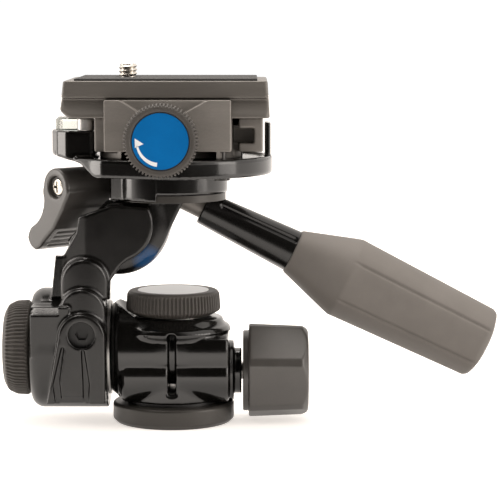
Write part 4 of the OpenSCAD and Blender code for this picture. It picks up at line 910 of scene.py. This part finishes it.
def plateField(p):
    s, c = plate, clamp
    x, y, z = p
    z1 = c["z0"] + s["dovetail"]
    z2 = z1 + s["band"]
    ay = np.abs(y)
    side = outline(ay, z, [[-10, c["z0"]], [c["half"], c["z0"]], [c["half"], c["z0"] + c["foot"]], [flankY(z1), z1],
                           [s["bandHalf"], z1 + 0.5], [s["bandHalf"], z2], [-10, z2]])
    ends = np.maximum(s["left"] + s["lean"][0] * (z - 107) - x, x - s["right"] + s["lean"][1] * (z - 107))
    ends = both(ends, (s["left"] + 2.6 - x + 105 - z) * 0.7071, 0.5)
    plan = both(ends, ay - c["half"], s["corner"])
    f = both(side + 0.1, plan, 0.5) - 0.1
    far = np.hypot(x - np.clip(x, s["screwX"], s["slotEnd"]), y)
    f = without(f, both(far - s["headR"], z - c["z0"] - 5.2, 0), 0.3)
    return without(f, far - s["slotR"], 0.3)


def padField(p):
    # fine ridges across the pad: a cosine of x
    s = plate
    x, y, z = p
    f = block(p, s["padLo"], s["padHi"], 0.25)
    wave = s["ridgeHigh"] * np.cos(x * 2 * np.pi / s["ridge"])
    f = both(f, z - 117.95 - wave * (np.abs(y) < 21.6), 0.05)
    return without(f, np.hypot(x - s["screwX"], y) - 4.0, 0.2)


cameraScrew = {"pitch": 1.27, "r": 3.17, "threadDepth": 0.62, "neckR": 2.6, "neckTop": 118.3, "z": (109, 122.4),
               "headR": 7, "headZ": (105.6, 109.4), "slotHalf": 0.45, "slotZ": 121.0, "coinHalf": 0.7, "coinZ": 107.2}


def cameraScrewField(p):
    # thread: the radius falls by a triangle wave of the height and the angle together
    s = cameraScrew
    x, y, z = p[0] - plate["screwX"], p[1], p[2]
    rr, turn = np.hypot(x, y), np.arctan2(y, x) / (2 * np.pi)
    saw = np.abs(((z - 118.5) / s["pitch"] - turn) % 1.0 - 0.5) * 2
    r = np.where(z < s["neckTop"], s["neckR"], s["r"] - s["threadDepth"] * saw)
    f = both((rr - r) * 0.75, within(z, *s["z"]), 0.15)
    f = both(f, (rr - 3.175 + (z - 121.7)) * 0.7071, 0.1)
    f = np.minimum(f, both(rr - s["headR"], within(z, *s["headZ"]), 0.4))
    f = without(f, np.maximum(np.abs(y) - s["slotHalf"], s["slotZ"] - z), 0.15)
    return without(f, np.maximum(np.abs(y) - s["coinHalf"], z - s["coinZ"]), 0.15)


capScrew = {"headR": 2.75, "face": 0.7, "dome": 0.06, "under": 1.6, "shankR": 1.9, "end": 4.3, "crossHalf": 0.38,
            "crossDepth": 1.9}


def capScrewField(p):
    s = capScrew
    u, v, w = leverSpace(p)
    rr = np.hypot(u, v)
    f = both(rr - s["headR"], np.maximum(s["face"] + s["dome"] * rr ** 2 - w, w - s["under"]), 0.2)
    f = np.minimum(f, both(rr - s["shankR"], within(w, 1, s["end"]), 0.1))
    au, av, half, long = np.abs(u), np.abs(v), s["crossHalf"], s["crossDepth"]
    cross = np.minimum(np.maximum(au - half, av - long), np.maximum(av - half, au - long))
    return without(f, np.maximum(cross, w - long), 0.12)


def makeClamp():
    cast("clampBody", clampBaseField, (-25.6, -17.2, 90.8), (30.8, 28.2, 111.2), 0.5, "clamp_base", "anodised")
    cast("frontJaw", jawField, (-21.7, -28.2, 94), (20.3, -19.3, 111.2), 0.35, "front_jaw", "anodised")
    cast("quickPlate", plateField, (-36, -25.2, 104.8), (34.7, 25.2, 117.4), 0.5, "quick_plate", "plateAlu")
    cast("rubberPad", padField, (-31.8, -22.5, 117), (28.9, 22.5, 118.2), 0.32, "rubber_pad", "padRubber")
    cast("cameraScrew", cameraScrewField, (-22.2, -7.2, 105.4), (-7.8, 7.2, 122.6), 0.16, "camera_screw",
         "brightSteel")
    cast("leverScrew", capScrewField, (-43, -12, 77.6), (-33, -2, 84.4), 0.1, "lever_cap_screw", "brightSteel")
    cast("hexLockKnob", hexField, (23.8, -17.8, -0.6), (46.4, 17.8, 35), 0.4, "pan_lock_knob", "hexPlastic")


# the level in its ear and the grey pin beside it
small = {"seatDrop": 2.58, "vialR": 6.38, "top": 104.68, "pinR": 2.9}


def makeSmall():
    s, e, x = small, top["earTop"], top["earX"]
    r, high = s["vialR"], s["top"]
    turned("levelSeat", [[0, e - s["seatDrop"]], [r, e - s["seatDrop"]], [r, e - 1.2], [0, e - 1.2]],
           (x, 0, 0), (0, 0, 1), "level_seat", "levelGreen", 72, 0.1)
    turned("levelVial", [[0, e - 1.18], [r, e - 1.18], [r, 103.6], [5.4, 104.5], [0, high]],
           (x, 0, 0), (0, 0, 1), "level_vial", "vialClear", 96, 0.5)
    turned("stopPin", [[0, e], [s["pinR"], e], [s["pinR"], 104.1], [2.3, high], [0, high]],
           (*top["pin"], 0), (0, 0, 1), "plate_stop_pin", "steel", 72, 0.3)


# the arrow on the clamp disc: an arc that narrows to a barbed head
arrow = {"r": 7.5, "width": 1.15, "from": 173, "to": 262, "thick": 0.06, "lift": 0.32, "headR": (-2.1, 0.8, 0.7),
         "headTurn": (15, 21, 0), "tailTurn": 18}


def makeArrow():
    # an arc that widens toward its tail and a head of three corners, both by radius and angle, with a thin wall
    s, k = arrow, knobs["clamp"]
    t = np.linspace(0, 1, 40)
    along = s["from"] + s["tailTurn"] + (s["to"] - s["from"] - s["tailTurn"]) * t
    half = s["width"] / 2 * (0.55 + 0.6 * t)
    r = s["r"] + np.concatenate([-half, half, s["headR"]])
    angle = np.radians(np.concatenate([along, along, s["from"] + np.array(s["headTurn"])]))
    n, m = len(t), len(r)
    front = k["y"] - k["h"] + s["lift"] - s["thick"]
    flat = np.stack([k["x"] + r * np.cos(angle), np.full(m, front), k["z"] + r * np.sin(angle)], 1)
    points = np.vstack([flat, flat + (0, s["thick"] + 0.1, 0)])
    head = [2 * n, 2 * n + 1, 2 * n + 2]
    faces = [[i, i + 1, n + i + 1, n + i] for i in range(n - 1)] + [head]
    faces += [[m + v for v in reversed(face)] for face in faces]
    for loop in (list(range(n)) + list(range(2 * n - 1, n - 1, -1)), head):
        faces += [[a, m + a, m + b, b] for a, b in zip(loop, loop[1:] + loop[:1])]
    mesh = bpy.data.meshes.new("discArrow")
    mesh.from_pydata((points * 0.001).tolist(), [], faces)
    work = bmesh.new()
    work.from_mesh(mesh)
    bmesh.ops.recalc_face_normals(work, faces=work.faces)
    work.to_mesh(mesh)
    work.free()
    mesh.materials.append(looks["arrowWhite"])
    piece = placed("discArrow", mesh)
    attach(piece, "clamp_handle")


aimCamera()
lightStudio()
layFloor()
dressNodes()
makeBase()
makeCastings()
makeKnobs()
makeClamp()
makeHandle()
makeSmall()
makeArrow()
print("all pieces made")
